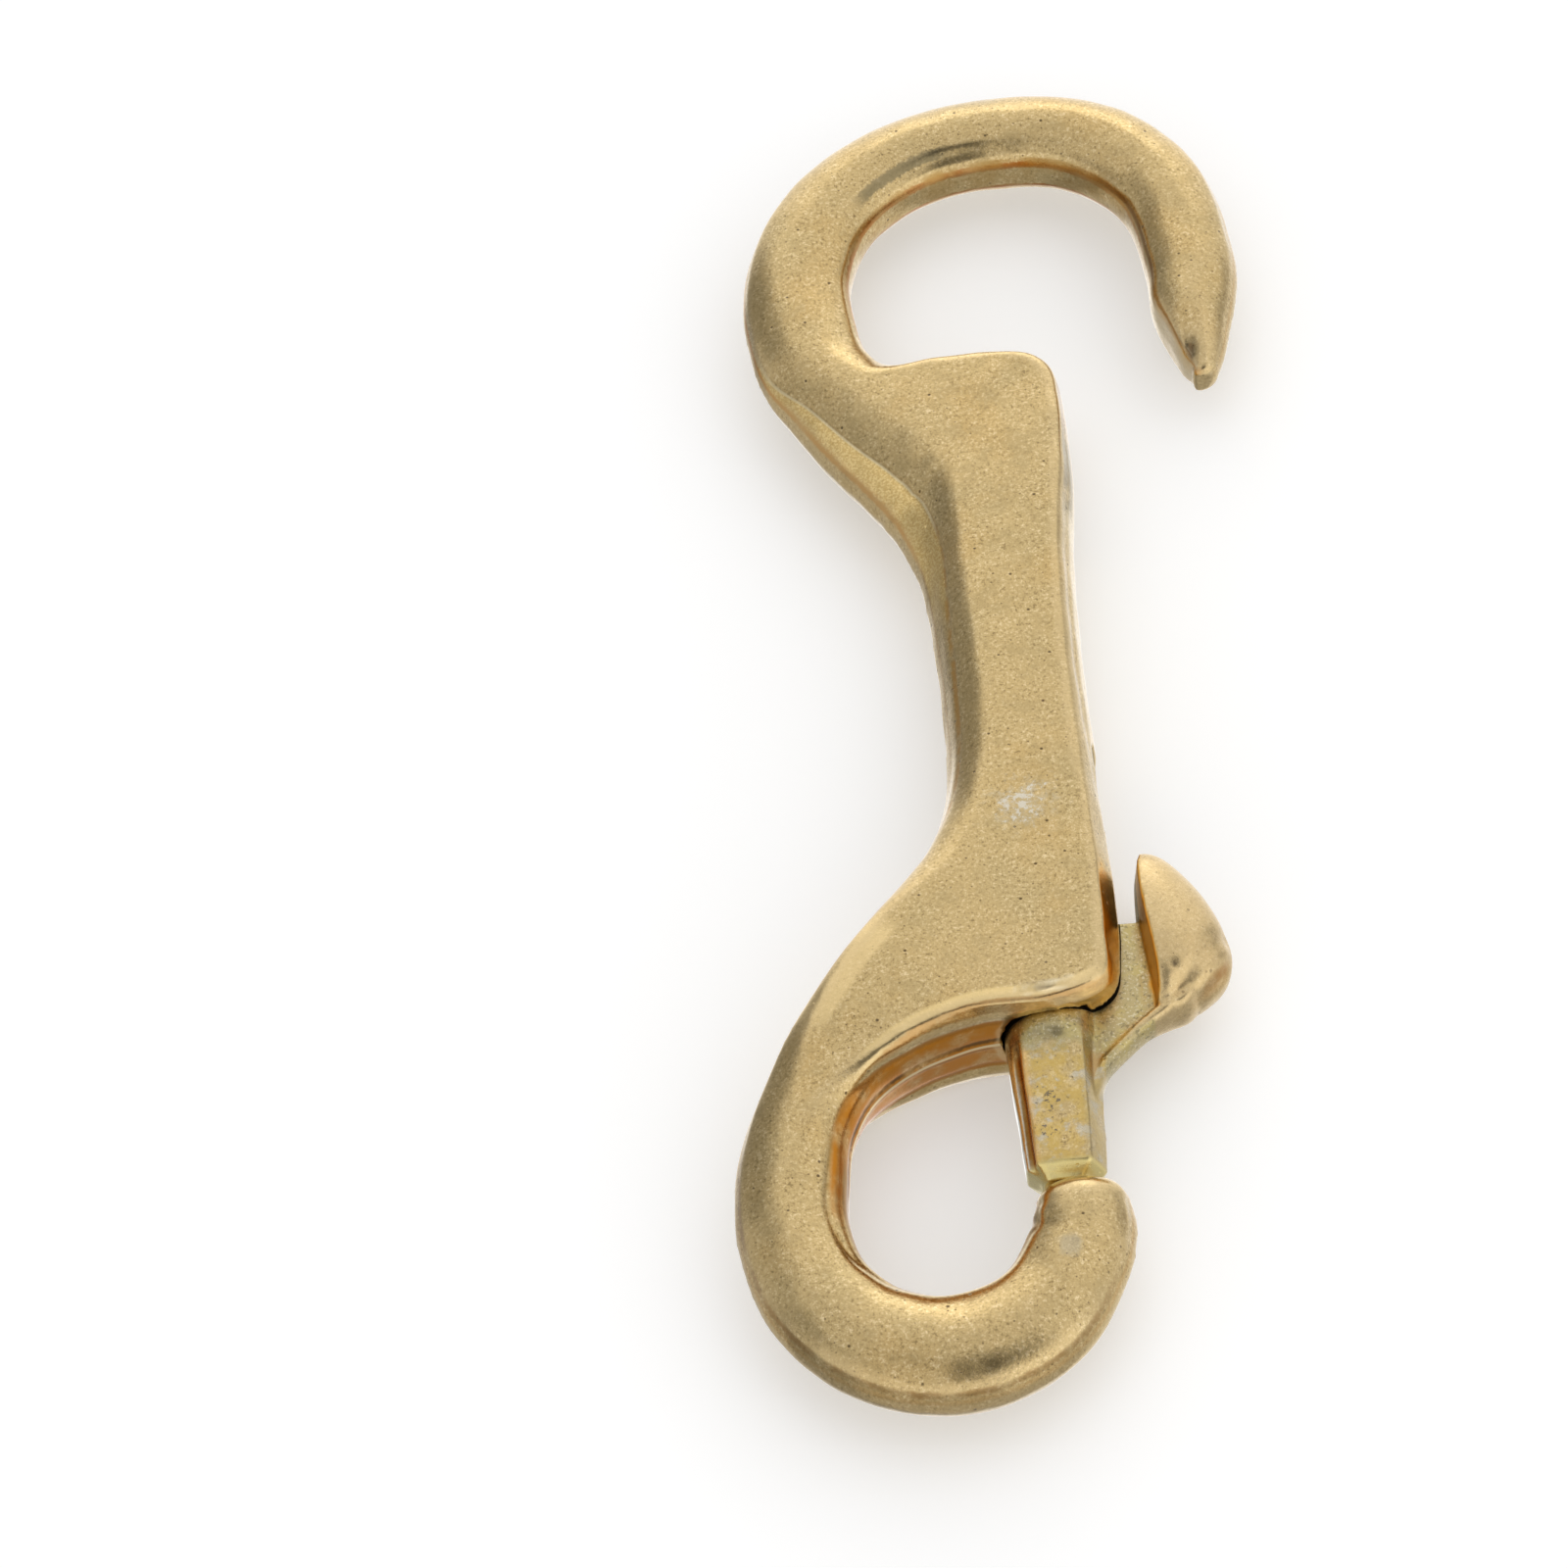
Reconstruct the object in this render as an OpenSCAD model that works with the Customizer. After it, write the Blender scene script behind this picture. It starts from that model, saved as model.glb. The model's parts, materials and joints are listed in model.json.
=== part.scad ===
// Double ended hook clasp in cast brass: an open hook at one end of a barrel, and a snap hook
// closed by a sprung bolt at the other. It lies flat, with the barrel's axis along Y.

/* [Barrel] */
// Radius of the bore that the bolt slides in
bore_r = 2.6; // [2.5:0.05:2.7]
// Depth of the bore, from the mouth in the snap hook's eye
bore_depth = 31; // [28:0.5:32]
// Width of the slot that the thumb piece's web runs in
slot_w = 2.8; // [2.4:0.1:3]
// Length of slot left beyond the web when the bolt is drawn back
slot_room = 0.7; // [0.3:0.1:1]
// Half of the barrel's thickness at the mouth
barrel_half = 3.75; // [3.7:0.05:4]

/* [Bolt] */
// Radius of the bolt where it runs in the bore
bolt_r = 2.53; // [2.4:0.01:2.55]
// Radius of the bolt at its tapered free end
bolt_tip_r = 2.15; // [1.8:0.05:2.4]
// Length of the bolt
bolt_len = 20; // [18:0.5:21]
// How far the bolt draws back
bolt_travel = 10.5; // [9.6:0.1:10.6]
// Thickness of the web between bolt and thumb piece
web_t = 2.2; // [1.8:0.1:2.3]
// Reach of the thumb piece from the barrel's axis
thumb_reach = 10.1; // [9:0.1:10.5]
// Half of the thumb piece's thickness
thumb_half = 3; // [2.5:0.1:3.2]

/* [Spring] */
// Diameter of the spring's wire
wire_d = 0.7; // [0.5:0.05:0.8]
// Radius of the coil at the wire's middle
coil_r = 2; // [1.8:0.05:2.1]
// Turns in the coil
coil_turns = 9; // [7:1:10]

/* [Hooks] */
// Radius from the open hook's middle to the rod's middle, at its top
open_hook_r = 11; // [10.5:0.1:11.5]
// Radius from the snap hook's middle to the rod's middle, at its foot
snap_hook_r = 8.6; // [8.2:0.1:9]
// Half of the rod's thickness in both hooks
rod_half = 2.5; // [2.2:0.1:2.7]
// Gap between the shut bolt and the snap hook's end
nose_gap = 0.3; // [0.2:0.05:0.5]

/* [Hidden] */

// The barrel's axis is x = 0 in the tables below. The part then moves to the middle of its box.
rest_x = 1.14;
rest_y = -6.43;
mouth_y = -16.8;
bore_end_y = mouth_y + bore_depth;
bolt_end_y = -26.1;
bolt_back_y = bolt_end_y + bolt_len;
hook_end_y = bolt_end_y - nose_gap;
end_round = 0.8;
taper_len = 7;
bolt_edge = 0.4;
coil_gap = 0.05;

// The web: its straight top edge, the point where its foot meets the bolt, and the thumb piece's place
web_top_y = -10;
web_foot = [2.2, -19.6];
thumb_x = 5.8;
thumb_foot_y = -15.7;
slot_end_y = web_top_y + bolt_travel + slot_room;

// Points round a section of the casting and of the thumb piece, and how square the sections are
ring_n = 24;
thumb_n = 20;
rod_square = 2.2;
thumb_square = 2.4;

// Sections across the thumb piece: y, inner x, outer x, half thickness.
thumb_rows = [
    [-6.5, thumb_x, thumb_x + 0.5, 0.5],
    [-6.9, thumb_x - 0.05, thumb_x + 1.2, 0.45 * thumb_half],
    [-8.2, thumb_x, thumb_x + 2.5, 0.78 * thumb_half],
    [-9.8, thumb_x, thumb_x + 3.7, 0.95 * thumb_half],
    [-11.6, thumb_x + 0.1, thumb_reach, thumb_half],
    [-13.3, thumb_x + 0.2, thumb_reach - 0.2, thumb_half],
    [-14.6, thumb_x + 0.3, thumb_reach - 1.2, 0.85 * thumb_half],
    [-15.5, thumb_x + 0.5, thumb_reach - 2.4, 0.5 * thumb_half],
    [-15.8, thumb_x + 0.9, thumb_reach - 3.1, 0.2 * thumb_half]
];

// Hook rod by angle about the hook's middle: angle, radius to the rod's middle, half width.
open_mid = [0.5, 37.7];
open_rod = [
    [-3, open_hook_r + 0.95, 2.78],
    [28, open_hook_r + 1.05, 3.00],
    [58, open_hook_r + 0.70, 3.10],
    [88, open_hook_r, 3.00],
    [118, open_hook_r - 0.10, 3.15],
    [148, open_hook_r + 0.25, 3.37],
    [178, open_hook_r + 0.75, 3.48],
    [206, open_hook_r + 1.50, 3.50]
];
snap_mid = [-6.7, -26.9];
snap_rod = [
    [160, snap_hook_r - 0.55, 3.15],
    [188, snap_hook_r - 0.85, 3.05],
    [218, snap_hook_r - 0.50, 3.15],
    [248, snap_hook_r - 0.10, 3.20],
    [278, snap_hook_r + 0.12, 3.25],
    [308, snap_hook_r - 0.05, 3.15],
    [336, snap_hook_r - 0.75, 2.87]
];

// Sections of the casting, each on a line from its outer edge to its inner edge:
// outer x, outer y, inner x, inner y, distance from the outer edge to the crown of the rod,
// half height of the crown, half height of the plate beside it, squareness of the plate.
beak = [
    [13.25, 28.9, 11.55, 28.6, 0.9, 1.2, 0, 3],
    [13.75, 30.0, 11.1, 29.7, 1.3, 1.7, 0, 3],
    [14.4, 31.9, 10.45, 31.6, 1.9, 2.15, 0, 3],
    [14.95, 34.3, 9.8, 34.0, 2.5, 2.4, 0, 3]
];
upper_shoulder = [
    [-12.2, 27.4, -6.9, 31.5, 3.2, 2.55, 1.6, 3],
    [-11.0, 25.2, -5.5, 30.1, 2.9, 2.65, 2.3, 3.5],
    [-9.7, 23.1, -2.8, 29.9, 2.6, 2.8, 2.6, 4],
    [-8.4, 21.3, 0.4, 29.8, 2.4, 2.9, 2.75, 4],
    [-7.3, 19.7, 3.1, 29.2, 2.2, 3.0, 2.85, 4],
    [-6.4, 18.2, 4.2, 27.2, 2.0, 3.1, 3.0, 4],
    [-5.7, 16.3, 4.45, 24.2, 1.9, 3.2, 3.15, 3.6],
    [-5.1, 14.1, 4.45, 20.6, 1.8, 3.25, 3.3, 3.2],
    [-4.8, 11.3, 3.9, 16.2, 1.8, 3.2, 3.4, 3]
];
shank = [
    [-4.6, 8.0, 3.8, 11.0, 1.8, 3.2, 3.45, 2.8],
    [-4.5, 4.5, 3.85, 5.6, 1.8, 3.2, 3.5, 2.8],
    [-4.5, 1.0, 3.95, 0.4, 1.8, 3.2, 3.55, 2.8]
];
lower_shoulder = [
    [-4.8, -2.0, 4.0, -4.4, 1.8, 3.2, 3.6, 3],
    [-5.7, -4.5, 4.1, -8.8, 2.0, 3.2, 3.65, 3.4],
    [-7.0, -6.6, 4.05, -12.6, 2.2, 3.2, barrel_half, 3.8],
    [-8.4, -8.4, 3.4, -15.6, 2.4, 3.2, barrel_half, 4],
    [-9.8, -10.2, 0.4, -16.8, 2.6, 3.2, barrel_half, 4],
    [-11.3, -12.0, -3.6, -16.9, 2.8, 3.1, 3.6, 4],
    [-12.9, -14.2, -7.2, -17.6, 3.0, 3.0, 3.2, 3.6],
    [-14.6, -16.7, -9.6, -19.6, 3.0, 2.8, 2.4, 3.2],
    [-16.0, -19.6, -10.9, -22.4, 3.1, 2.6, 1.2, 3]
];
snap_end = [
    [3.35, hook_end_y - 3.2, -1.95, hook_end_y - 2.1, 2.8, rod_half, 0, 3],
    [3.6, hook_end_y - 1.8, -1.95, hook_end_y - 1.3, 2.8, rod_half, 0, 3],
    [3.5, hook_end_y - end_round, -1.85, hook_end_y - end_round, 2.7, rod_half - 0.05, 0, 3]
];

// A row of the casting's table for a rod at one angle about a hook's middle
function rod_row(mid, r) = [
    mid.x + (r[1] + r[2]) * cos(r[0]), mid.y + (r[1] + r[2]) * sin(r[0]),
    mid.x + (r[1] - r[2]) * cos(r[0]), mid.y + (r[1] - r[2]) * sin(r[0]),
    r[2], rod_half, 0, 3
];

// A smooth cubic through four rows, at t from the second to the third
function between(a, b, c, d, t) =
    b + 0.5 * t * ((c - a) + t * ((2 * a - 5 * b + 4 * c - d) + t * (3 * b - a - 3 * c + d)));

// Every row of a table, with steps - 1 smooth rows between each two
function smooth_rows(rows, steps) = concat(
    [for (i = [0:len(rows) - 2], k = [0:steps - 1])
        between(rows[max(i - 1, 0)], rows[i], rows[i + 1], rows[min(i + 2, len(rows) - 1)], k / steps)],
    [rows[len(rows) - 1]]
);

// Rows that round off an end: the last row shrinks about its middle by in, and moves on by out
function shrunk_row(row, aim, in, out) =
    let (
        o = [row[0], row[1]],
        i = [row[2], row[3]],
        u = (o - i) / norm(o - i),
        o2 = o - u * in + aim * out,
        i2 = i + u * in + aim * out
    )
    [o2.x, o2.y, i2.x, i2.y, norm(o2 - i2) / 2, max(row[5] - in, 0.05), max(row[6] - in, 0), row[7]];

// Signed power of a sine or cosine, for a rounded square
function soft(v, p) = sign(v) * pow(abs(v), 2 / p);

// Height of the oval rod at s from the outer edge
function rod_z(s, rim, crown) = s >= 2 * rim ? 0 : crown * sqrt(max(0, 1 - pow((s - rim) / rim, 2)));

// One closed ring of points across the casting
function ring(row) =
    let (
        o = [row[0], row[1]],
        i = [row[2], row[3]],
        wide = norm(o - i),
        plain = row[6] <= 0,
        rim = plain ? wide / 2 : min(row[4], wide / 2),
        p = plain ? rod_square : row[7]
    )
    [for (k = [0:ring_n - 1])
        let (
            a = 360 * k / ring_n,
            s = wide / 2 * (1 - soft(cos(a), p)),
            plate = min(row[6], barrel_half) * abs(soft(sin(a), p)),
            z = sign(round(sin(a) * 1e6)) * max(plate, rod_z(s, rim, row[5])),
            at = o + (i - o) * s / wide
        )
        [at.x, at.y, z]];

// A closed skin over a list of rings, with a fan on each end
module skin(rings) {
    n = len(rings[0]);
    m = len(rings);
    first = sum_of(rings[0]) / n;
    last = sum_of(rings[m - 1]) / n;
    polyhedron(
        points = concat([for (r = rings) each r], [first, last]),
        faces = concat(
            [for (j = [0:m - 2], k = [0:n - 1])
                each [[j * n + k, (j + 1) * n + k, (j + 1) * n + (k + 1) % n],
                      [j * n + k, (j + 1) * n + (k + 1) % n, j * n + (k + 1) % n]]],
            [for (k = [0:n - 1]) [m * n, k, (k + 1) % n]],
            [for (k = [0:n - 1]) [m * n + 1, (m - 1) * n + (k + 1) % n, (m - 1) * n + k]]
        )
    );
}

function sum_of(v, i = 0) = i == len(v) - 1 ? v[i] : v[i] + sum_of(v, i + 1);

// The whole casting, from the beak round the open hook and down to the snap hook's end
module casting() {
    rows = concat(
        smooth_rows(beak, 2),
        smooth_rows([for (r = open_rod) rod_row(open_mid, r)], 4),
        smooth_rows(upper_shoulder, 2),
        smooth_rows(shank, 2),
        smooth_rows(lower_shoulder, 2),
        smooth_rows([for (r = snap_rod) rod_row(snap_mid, r)], 4),
        smooth_rows(snap_end, 2)
    );
    tip_aim = [-0.3, -0.95];
    end_aim = [0, 1];
    tail = rows[len(rows) - 1];
    all_rows = concat(
        [for (a = [75, 50, 25]) shrunk_row(rows[0], tip_aim, end_round * (1 - cos(a)), end_round * sin(a))],
        rows,
        [for (a = [30, 60, 85]) shrunk_row(tail, end_aim, end_round * (1 - cos(a)), end_round * sin(a))]
    );
    skin([for (r = all_rows) ring(r)]);
}

// Moves a shape from the barrel's frame to the part's frame
module placed() {
    translate([rest_x, rest_y, barrel_half]) children();
}

module clasp_body() {
    color("darkgoldenrod") placed() difference() {
        casting();
        translate([0, mouth_y - 2, 0]) rotate([-90, 0, 0])
            cylinder(r = bore_r, h = bore_depth + 2, $fn = 48);
        translate([0, mouth_y - 2, -slot_w / 2]) cube([8, slot_end_y - mouth_y + 2, slot_w]);
    }
}

// The round bolt: full size where it runs in the bore, then a gentle taper to its rounded end
module plunger() {
    translate([0, bolt_end_y, 0]) rotate([-90, 0, 0]) rotate_extrude($fn = 48) polygon([
        [0, 0], [bolt_tip_r - bolt_edge, 0], [bolt_tip_r, bolt_edge], [bolt_r, taper_len],
        [bolt_r, bolt_len - bolt_edge], [bolt_r - bolt_edge, bolt_len], [0, bolt_len]
    ]);
}

// The flat web from the bolt out through the slot, with its foot swept down to the bolt
module web() {
    end_x = thumb_x + 0.6;
    foot = [for (a = [0:15:90]) [
        web_foot.x + (end_x - web_foot.x) * (1 - cos(a)),
        web_foot.y + (thumb_foot_y - web_foot.y) * sin(a)
    ]];
    translate([0, 0, -web_t / 2]) linear_extrude(web_t)
        polygon(concat([[0, web_top_y], [0, web_foot.y]], foot, [[end_x, web_top_y]]));
}

// The thumb piece, a shell-shaped pad: flat towards the barrel and swelling outwards
module thumb_piece() {
    rows = smooth_rows(thumb_rows, 2);
    skin([for (r = rows) [for (k = [0:thumb_n - 1])
        let (a = 360 * k / thumb_n)
        [(r[1] + r[2]) / 2 + (r[2] - r[1]) / 2 * soft(cos(a), thumb_square), r[0],
         r[3] * soft(sin(a), thumb_square)]]]);
}

module bolt() {
    color("goldenrod") placed() union() {
        plunger();
        web();
        thumb_piece();
    }
}

// The coil, one closed tube of round wire along a helix about the barrel's axis
module spring() {
    turn_n = 12;
    wire_n = 6;
    low = bolt_back_y + wire_d / 2 + coil_gap;
    high = bore_end_y - wire_d / 2 - coil_gap;
    steps = coil_turns * turn_n;
    color("silver") placed() skin([for (j = [0:steps])
        let (
            a = 360 * j / turn_n,
            y = low + (high - low) * j / steps,
            out = [cos(a), 0, sin(a)]
        )
        [for (k = [0:wire_n - 1])
            let (b = 360 * k / wire_n)
            out * (coil_r + wire_d / 2 * cos(b)) + [0, y + wire_d / 2 * sin(b), 0]]]);
}

clasp_body();
bolt();
spring();
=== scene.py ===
# %% [markdown]
# # Double ended hook clasp in cast brass
# The clasp is one brass casting with an open hook at one end and a snap hook at the other. A round
# bolt slides in the barrel between them, pushed out by a coil spring and drawn back by a thumb piece.
# The imported model gives sizes and places, and this scene gives each piece its cast and tumbled skin.
# We load that model and keep its boxes, which the pieces made here are kept within.

# %% Load the frame
import json
import math

import bpy
import numpy as np
from mathutils import Matrix, Vector

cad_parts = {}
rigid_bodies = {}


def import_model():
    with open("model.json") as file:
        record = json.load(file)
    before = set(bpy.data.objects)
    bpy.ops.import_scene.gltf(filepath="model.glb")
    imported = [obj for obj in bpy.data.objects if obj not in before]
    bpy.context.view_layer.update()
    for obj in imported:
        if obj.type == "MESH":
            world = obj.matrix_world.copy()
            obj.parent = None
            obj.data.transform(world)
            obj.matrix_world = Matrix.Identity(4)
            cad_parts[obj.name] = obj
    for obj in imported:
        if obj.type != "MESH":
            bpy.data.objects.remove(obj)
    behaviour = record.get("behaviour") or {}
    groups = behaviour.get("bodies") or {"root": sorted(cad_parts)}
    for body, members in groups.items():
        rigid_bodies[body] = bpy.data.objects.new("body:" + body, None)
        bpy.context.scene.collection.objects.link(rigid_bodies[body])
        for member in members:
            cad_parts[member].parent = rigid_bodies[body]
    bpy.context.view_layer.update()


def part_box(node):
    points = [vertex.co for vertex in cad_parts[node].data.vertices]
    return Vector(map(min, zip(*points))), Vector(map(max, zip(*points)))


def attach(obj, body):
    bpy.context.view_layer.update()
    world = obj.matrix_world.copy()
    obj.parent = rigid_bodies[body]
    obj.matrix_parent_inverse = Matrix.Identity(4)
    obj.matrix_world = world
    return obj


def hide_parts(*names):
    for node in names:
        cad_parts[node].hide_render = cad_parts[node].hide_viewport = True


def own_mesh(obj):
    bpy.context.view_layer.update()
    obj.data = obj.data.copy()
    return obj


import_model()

MM = 0.001

# %% [markdown]
# ## Camera
# The clasp lies on the floor and is seen from 54 degrees above, from about 270 mm away, with a
# longish lens. A matrix of the camera's right, up and back directions says this more exactly than
# three turns would.

# %% Camera
CAMERA_AT = (1.2, -159.43, 216.2)
CAMERA_UP = Vector((0.0903, 0.8082, 0.582))
CAMERA_BACK = Vector((0.052, -0.5874, 0.8076)).normalized()
LENS_MM = 108
SENSOR_MM = 36

camera_data = bpy.data.cameras.new("photo_camera")
camera_data.lens = LENS_MM
camera_data.sensor_width = SENSOR_MM
camera_data.clip_start = 0.01
camera = bpy.data.objects.new("photo_camera", camera_data)
camera_right = CAMERA_UP.cross(CAMERA_BACK).normalized()
camera_up = CAMERA_BACK.cross(camera_right)
turn = Matrix((camera_right, camera_up, CAMERA_BACK)).transposed().to_4x4()
camera.matrix_world = Matrix.Translation(Vector(CAMERA_AT) * MM) @ turn
bpy.context.scene.collection.objects.link(camera)
bpy.context.scene.camera = camera
print("camera is", round((Vector(CAMERA_AT) * MM).length / MM), "mm from the clasp's middle")

# %% [markdown]
# ## Grids, skins and smooth tables
# Every shape here is a grid of points worked out with numpy. A short table gives sections along a
# path, and a smooth cubic fills in those between. The grid then becomes a closed skin: quads between
# neighbours, and a fan of triangles over each end.

# %% Smooth tables and closed skins
def smooth_rows(rows, steps):
    """Rows of a table with steps - 1 rows between each two, on a Catmull-Rom cubic:
    b + t/2 * ((c - a) + t * ((2a - 5b + 4c - d) + t * (3b - a - 3c + d))) between rows b and c."""
    rows = np.asarray(rows, float)
    ended = np.vstack([rows[:1], rows, rows[-1:]])
    gaps = len(rows) - 1
    a, b, c, d = (ended[k:k + gaps, None, :] for k in range(4))
    t = (np.arange(steps) / steps)[None, :, None]
    inner = b + t / 2 * ((c - a) + t * ((2 * a - 5 * b + 4 * c - d) + t * (3 * b - a - 3 * c + d)))
    return np.vstack([inner.reshape(-1, rows.shape[1]), rows[-1:]])


def soft(wave, p):
    """Signed power |wave| ** (2 / p), which squares a circle: p = 2 is round, 4 a rounded square."""
    return np.sign(wave) * np.abs(wave) ** (2 / p)


def skin(name, rings):
    """A closed mesh over an (m, n, 3) grid in mm: quads join ring to ring and point to point round
    each ring, and a fan about the mean point closes each end. It is turned to face outwards."""
    m, n = rings.shape[:2]
    near = np.arange(m * n).reshape(m, n)
    far = np.roll(near, -1, axis=1)
    quads = np.stack([near[:-1], near[1:], far[1:], far[:-1]], axis=-1).reshape(-1, 4)
    start = np.stack([np.full(n, m * n), near[0], far[0]], axis=-1)
    end = np.stack([np.full(n, m * n + 1), far[-1], near[-1]], axis=-1)
    points = np.vstack([rings.reshape(-1, 3), rings[0].mean(0), rings[-1].mean(0)])
    halves = np.vstack([quads[:, [0, 1, 2]], quads[:, [0, 2, 3]], start, end])
    corners = points[halves] - points.mean(0)
    volume = np.einsum("ij,ij->i", corners[:, 0], np.cross(corners[:, 1], corners[:, 2])).sum() / 6
    faces = quads.tolist() + start.tolist() + end.tolist()
    if volume < 0:
        faces = [face[::-1] for face in faces]
    mesh = bpy.data.meshes.new(name)
    mesh.from_pydata((points * MM).tolist(), [], faces)
    piece = bpy.data.objects.new(name, mesh)
    bpy.context.scene.collection.objects.link(piece)
    print(f"{name}: {len(faces)} faces, {abs(volume):.0f} mm3")
    return piece


# %% [markdown]
# ## The casting's sections
# The casting is one long loft from the beak's tip round the open hook, through the upper shoulder,
# down the barrel and round the snap hook. Each row of the table is a section on a line from the outer
# to the inner edge. All the way round runs a narrow upright land, where the halves of the mould met
# and the flash was ground off. Above it a terrace rises to a crease, and from there the form swells to
# its top. On a rod the terrace is a narrow edge, and on the upper shoulder a band 2 mm wide.

# %% Main sizes in mm, on the barrel's own axes
BARREL_HALF = 3.75
REST = np.array([1.14, -6.43, BARREL_HALF])
ROD_HALF = 2.5
BORE_R = 2.6
BORE_END_Y = 14.2
MOUTH_Y = -16.8
MOUTH_R = 2.68
SLOT_W = 2.8
SLOT_END_Y = 1.2
BOLT_END_Y = -26.22
BOLT_BACK_Y = -6.1
HOOK_END_Y = -26.4
BEAK_ROUND = 0.75
HOOK_ROUND = 1.5

# columns: outer x, outer y, inner x, inner y, top height, then for the outer and for the inner side
# the land's height, how far in the crease lies, its height, the run from it to the top, how the run
# bends (1 is a flat bevel) and how steeply it starts (1 is a slope, 0.6 nearly upright)
BEAK = [
    (13.45, 28.7, 11.75, 28.45, 1.15, 0.4, 0.12, 0.55, 0.8, 1.75, 0.65, 0.85, 0.12, 0.95, 0.6, 1.75, 0.8),
    (13.85, 29.8, 11.15, 29.6, 1.65, 0.5, 0.2, 0.75, 1.2, 1.75, 0.65, 1.2, 0.15, 1.38, 1, 1.75, 0.8),
    (14.4, 31.9, 10.45, 31.6, 2.15, 0.6, 0.25, 0.9, 1.8, 1.75, 0.7, 1.35, 0.2, 1.6, 1.7, 1.75, 0.8),
    (14.95, 34.3, 9.8, 34, 2.4, 0.65, 0.3, 1, 2.4, 1.75, 0.7, 1.2, 0.25, 1.45, 2.3, 1.75, 0.8)]
UPPER_SHOULDER = [
    (-12.2, 27.4, -6.9, 31.5, 2.55, 0.95, 1.1, 1.35, 2.6, 1.9, 0.95, 0.9, 0.2, 1.2, 2.4, 1.75, 0.7),
    (-11, 25.2, -5.5, 30.2, 2.65, 1, 1.45, 1.45, 2.9, 2, 1, 0.9, 0.2, 1.4, 1.8, 1.75, 0.7),
    (-9.7, 23.1, -2.8, 30.15, 2.8, 1.05, 1.7, 1.5, 3.1, 2, 1.05, 0.9, 0.2, 1.7, 1.1, 1.75, 0.65),
    (-8.4, 21.3, 0.4, 29.95, 2.9, 1.05, 1.95, 1.55, 3.1, 2, 1.05, 0.9, 0.2, 1.9, 0.8, 1.75, 0.6),
    (-7.6, 20.1, 2.3, 29.55, 3, 1.05, 2.02, 1.6, 3.1, 2, 1.05, 0.9, 0.2, 2, 0.7, 1.75, 0.6),
    (-7.3, 19.7, 3.1, 29.1, 3, 1.05, 2.05, 1.6, 3.1, 2, 1.05, 0.9, 0.2, 2, 0.7, 1.75, 0.6),
    (-7.1, 19.3, 3.65, 28.4, 3.02, 1.05, 2.05, 1.62, 3.1, 2, 1.05, 0.9, 0.2, 2, 0.7, 1.75, 0.6),
    (-6.9, 18.9, 3.95, 27.5, 3.05, 1.05, 2.02, 1.65, 3, 2, 1.05, 0.9, 0.2, 2, 0.7, 1.75, 0.6),
    (-6.6, 18.5, 4.05, 26.6, 3.08, 1.05, 2.12, 1.7, 3, 2, 1.05, 0.9, 0.22, 2, 0.65, 1.75, 0.6),
    (-5.7, 16.3, 4.15, 24.2, 3.2, 1, 1.8, 1.85, 2.7, 2.1, 1.05, 0.9, 0.25, 2, 0.65, 1.75, 0.6),
    (-5.1, 14.1, 4.15, 20.6, 3.3, 0.95, 1.35, 2.1, 2.5, 2.2, 1, 0.9, 0.35, 1.9, 0.9, 1.75, 0.7),
    (-4.8, 11.3, 3.8, 16.2, 3.4, 0.9, 1.05, 2.25, 2.3, 2.3, 1, 0.9, 0.4, 2.1, 0.8, 1.75, 0.65)]
SHANK = [
    (-4.6, 8, 3.65, 11, 3.45, 0.9, 0.92, 2.3, 2.2, 2.3, 1, 0.9, 0.45, 2.2, 0.75, 1.75, 0.65),
    (-4.5, 4.5, 3.7, 5.6, 3.5, 0.9, 0.88, 2.35, 2.2, 2.3, 1, 0.9, 0.45, 2.2, 0.75, 1.75, 0.65),
    (-4.5, 1, 3.9, 0.4, 3.55, 0.9, 0.82, 2.4, 2.2, 2.3, 1, 1, 0.35, 2, 0.8, 1.5, 0.8)]
LOWER_SHOULDER = [
    (-5, -2, 4.1, -4.4, 3.6, 0.8, 0.75, 2.4, 2.2, 2.3, 1, 1.1, 0.12, 1.45, 0.95, 1.2, 1),
    (-5.95, -4.5, 4.33, -8.8, 3.65, 0.8, 0.68, 2.45, 2.2, 2.2, 1, 1.1, 0.08, 1.4, 1.15, 1.1, 1),
    (-7.15, -6.6, 4.25, -12.6, 3.73, 0.8, 0.58, 2.65, 1.8, 2, 1, 1.1, 0.08, 1.4, 1.15, 1.1, 1),
    (-8.4, -8.4, 3.55, -15.6, 3.75, 0.8, 0.5, 2.95, 1.15, 1.9, 1, 1.6, 0.3, 2.9, 0.45, 1.3, 0.8),
    (-9.8, -10.2, 0.4, -16.85, 3.75, 0.8, 0.45, 3.2, 0.7, 1.9, 1, 2.1, 0.42, 3.35, 0.22, 1.75, 0.6),
    (-11.3, -12, -3.6, -17, 3.68, 0.8, 0.45, 3.1, 0.7, 1.9, 1, 2, 0.42, 3.25, 0.22, 1.75, 0.6),
    (-12.9, -14.2, -7.1, -18.1, 3.4, 0.7, 0.42, 2.75, 0.8, 1.9, 1, 1.6, 0.42, 2.95, 0.25, 1.75, 0.6),
    (-14.6, -16.7, -9.6, -19.9, 3, 0.65, 0.36, 2, 1.6, 1.8, 0.9, 1.1, 0.6, 2.3, 0.8, 1.75, 0.7),
    (-16, -19.6, -10.9, -22.4, 2.7, 0.65, 0.32, 1.3, 2.4, 1.75, 0.75, 0.7, 0.8, 1.75, 1.6, 1.75, 0.75)]
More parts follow.
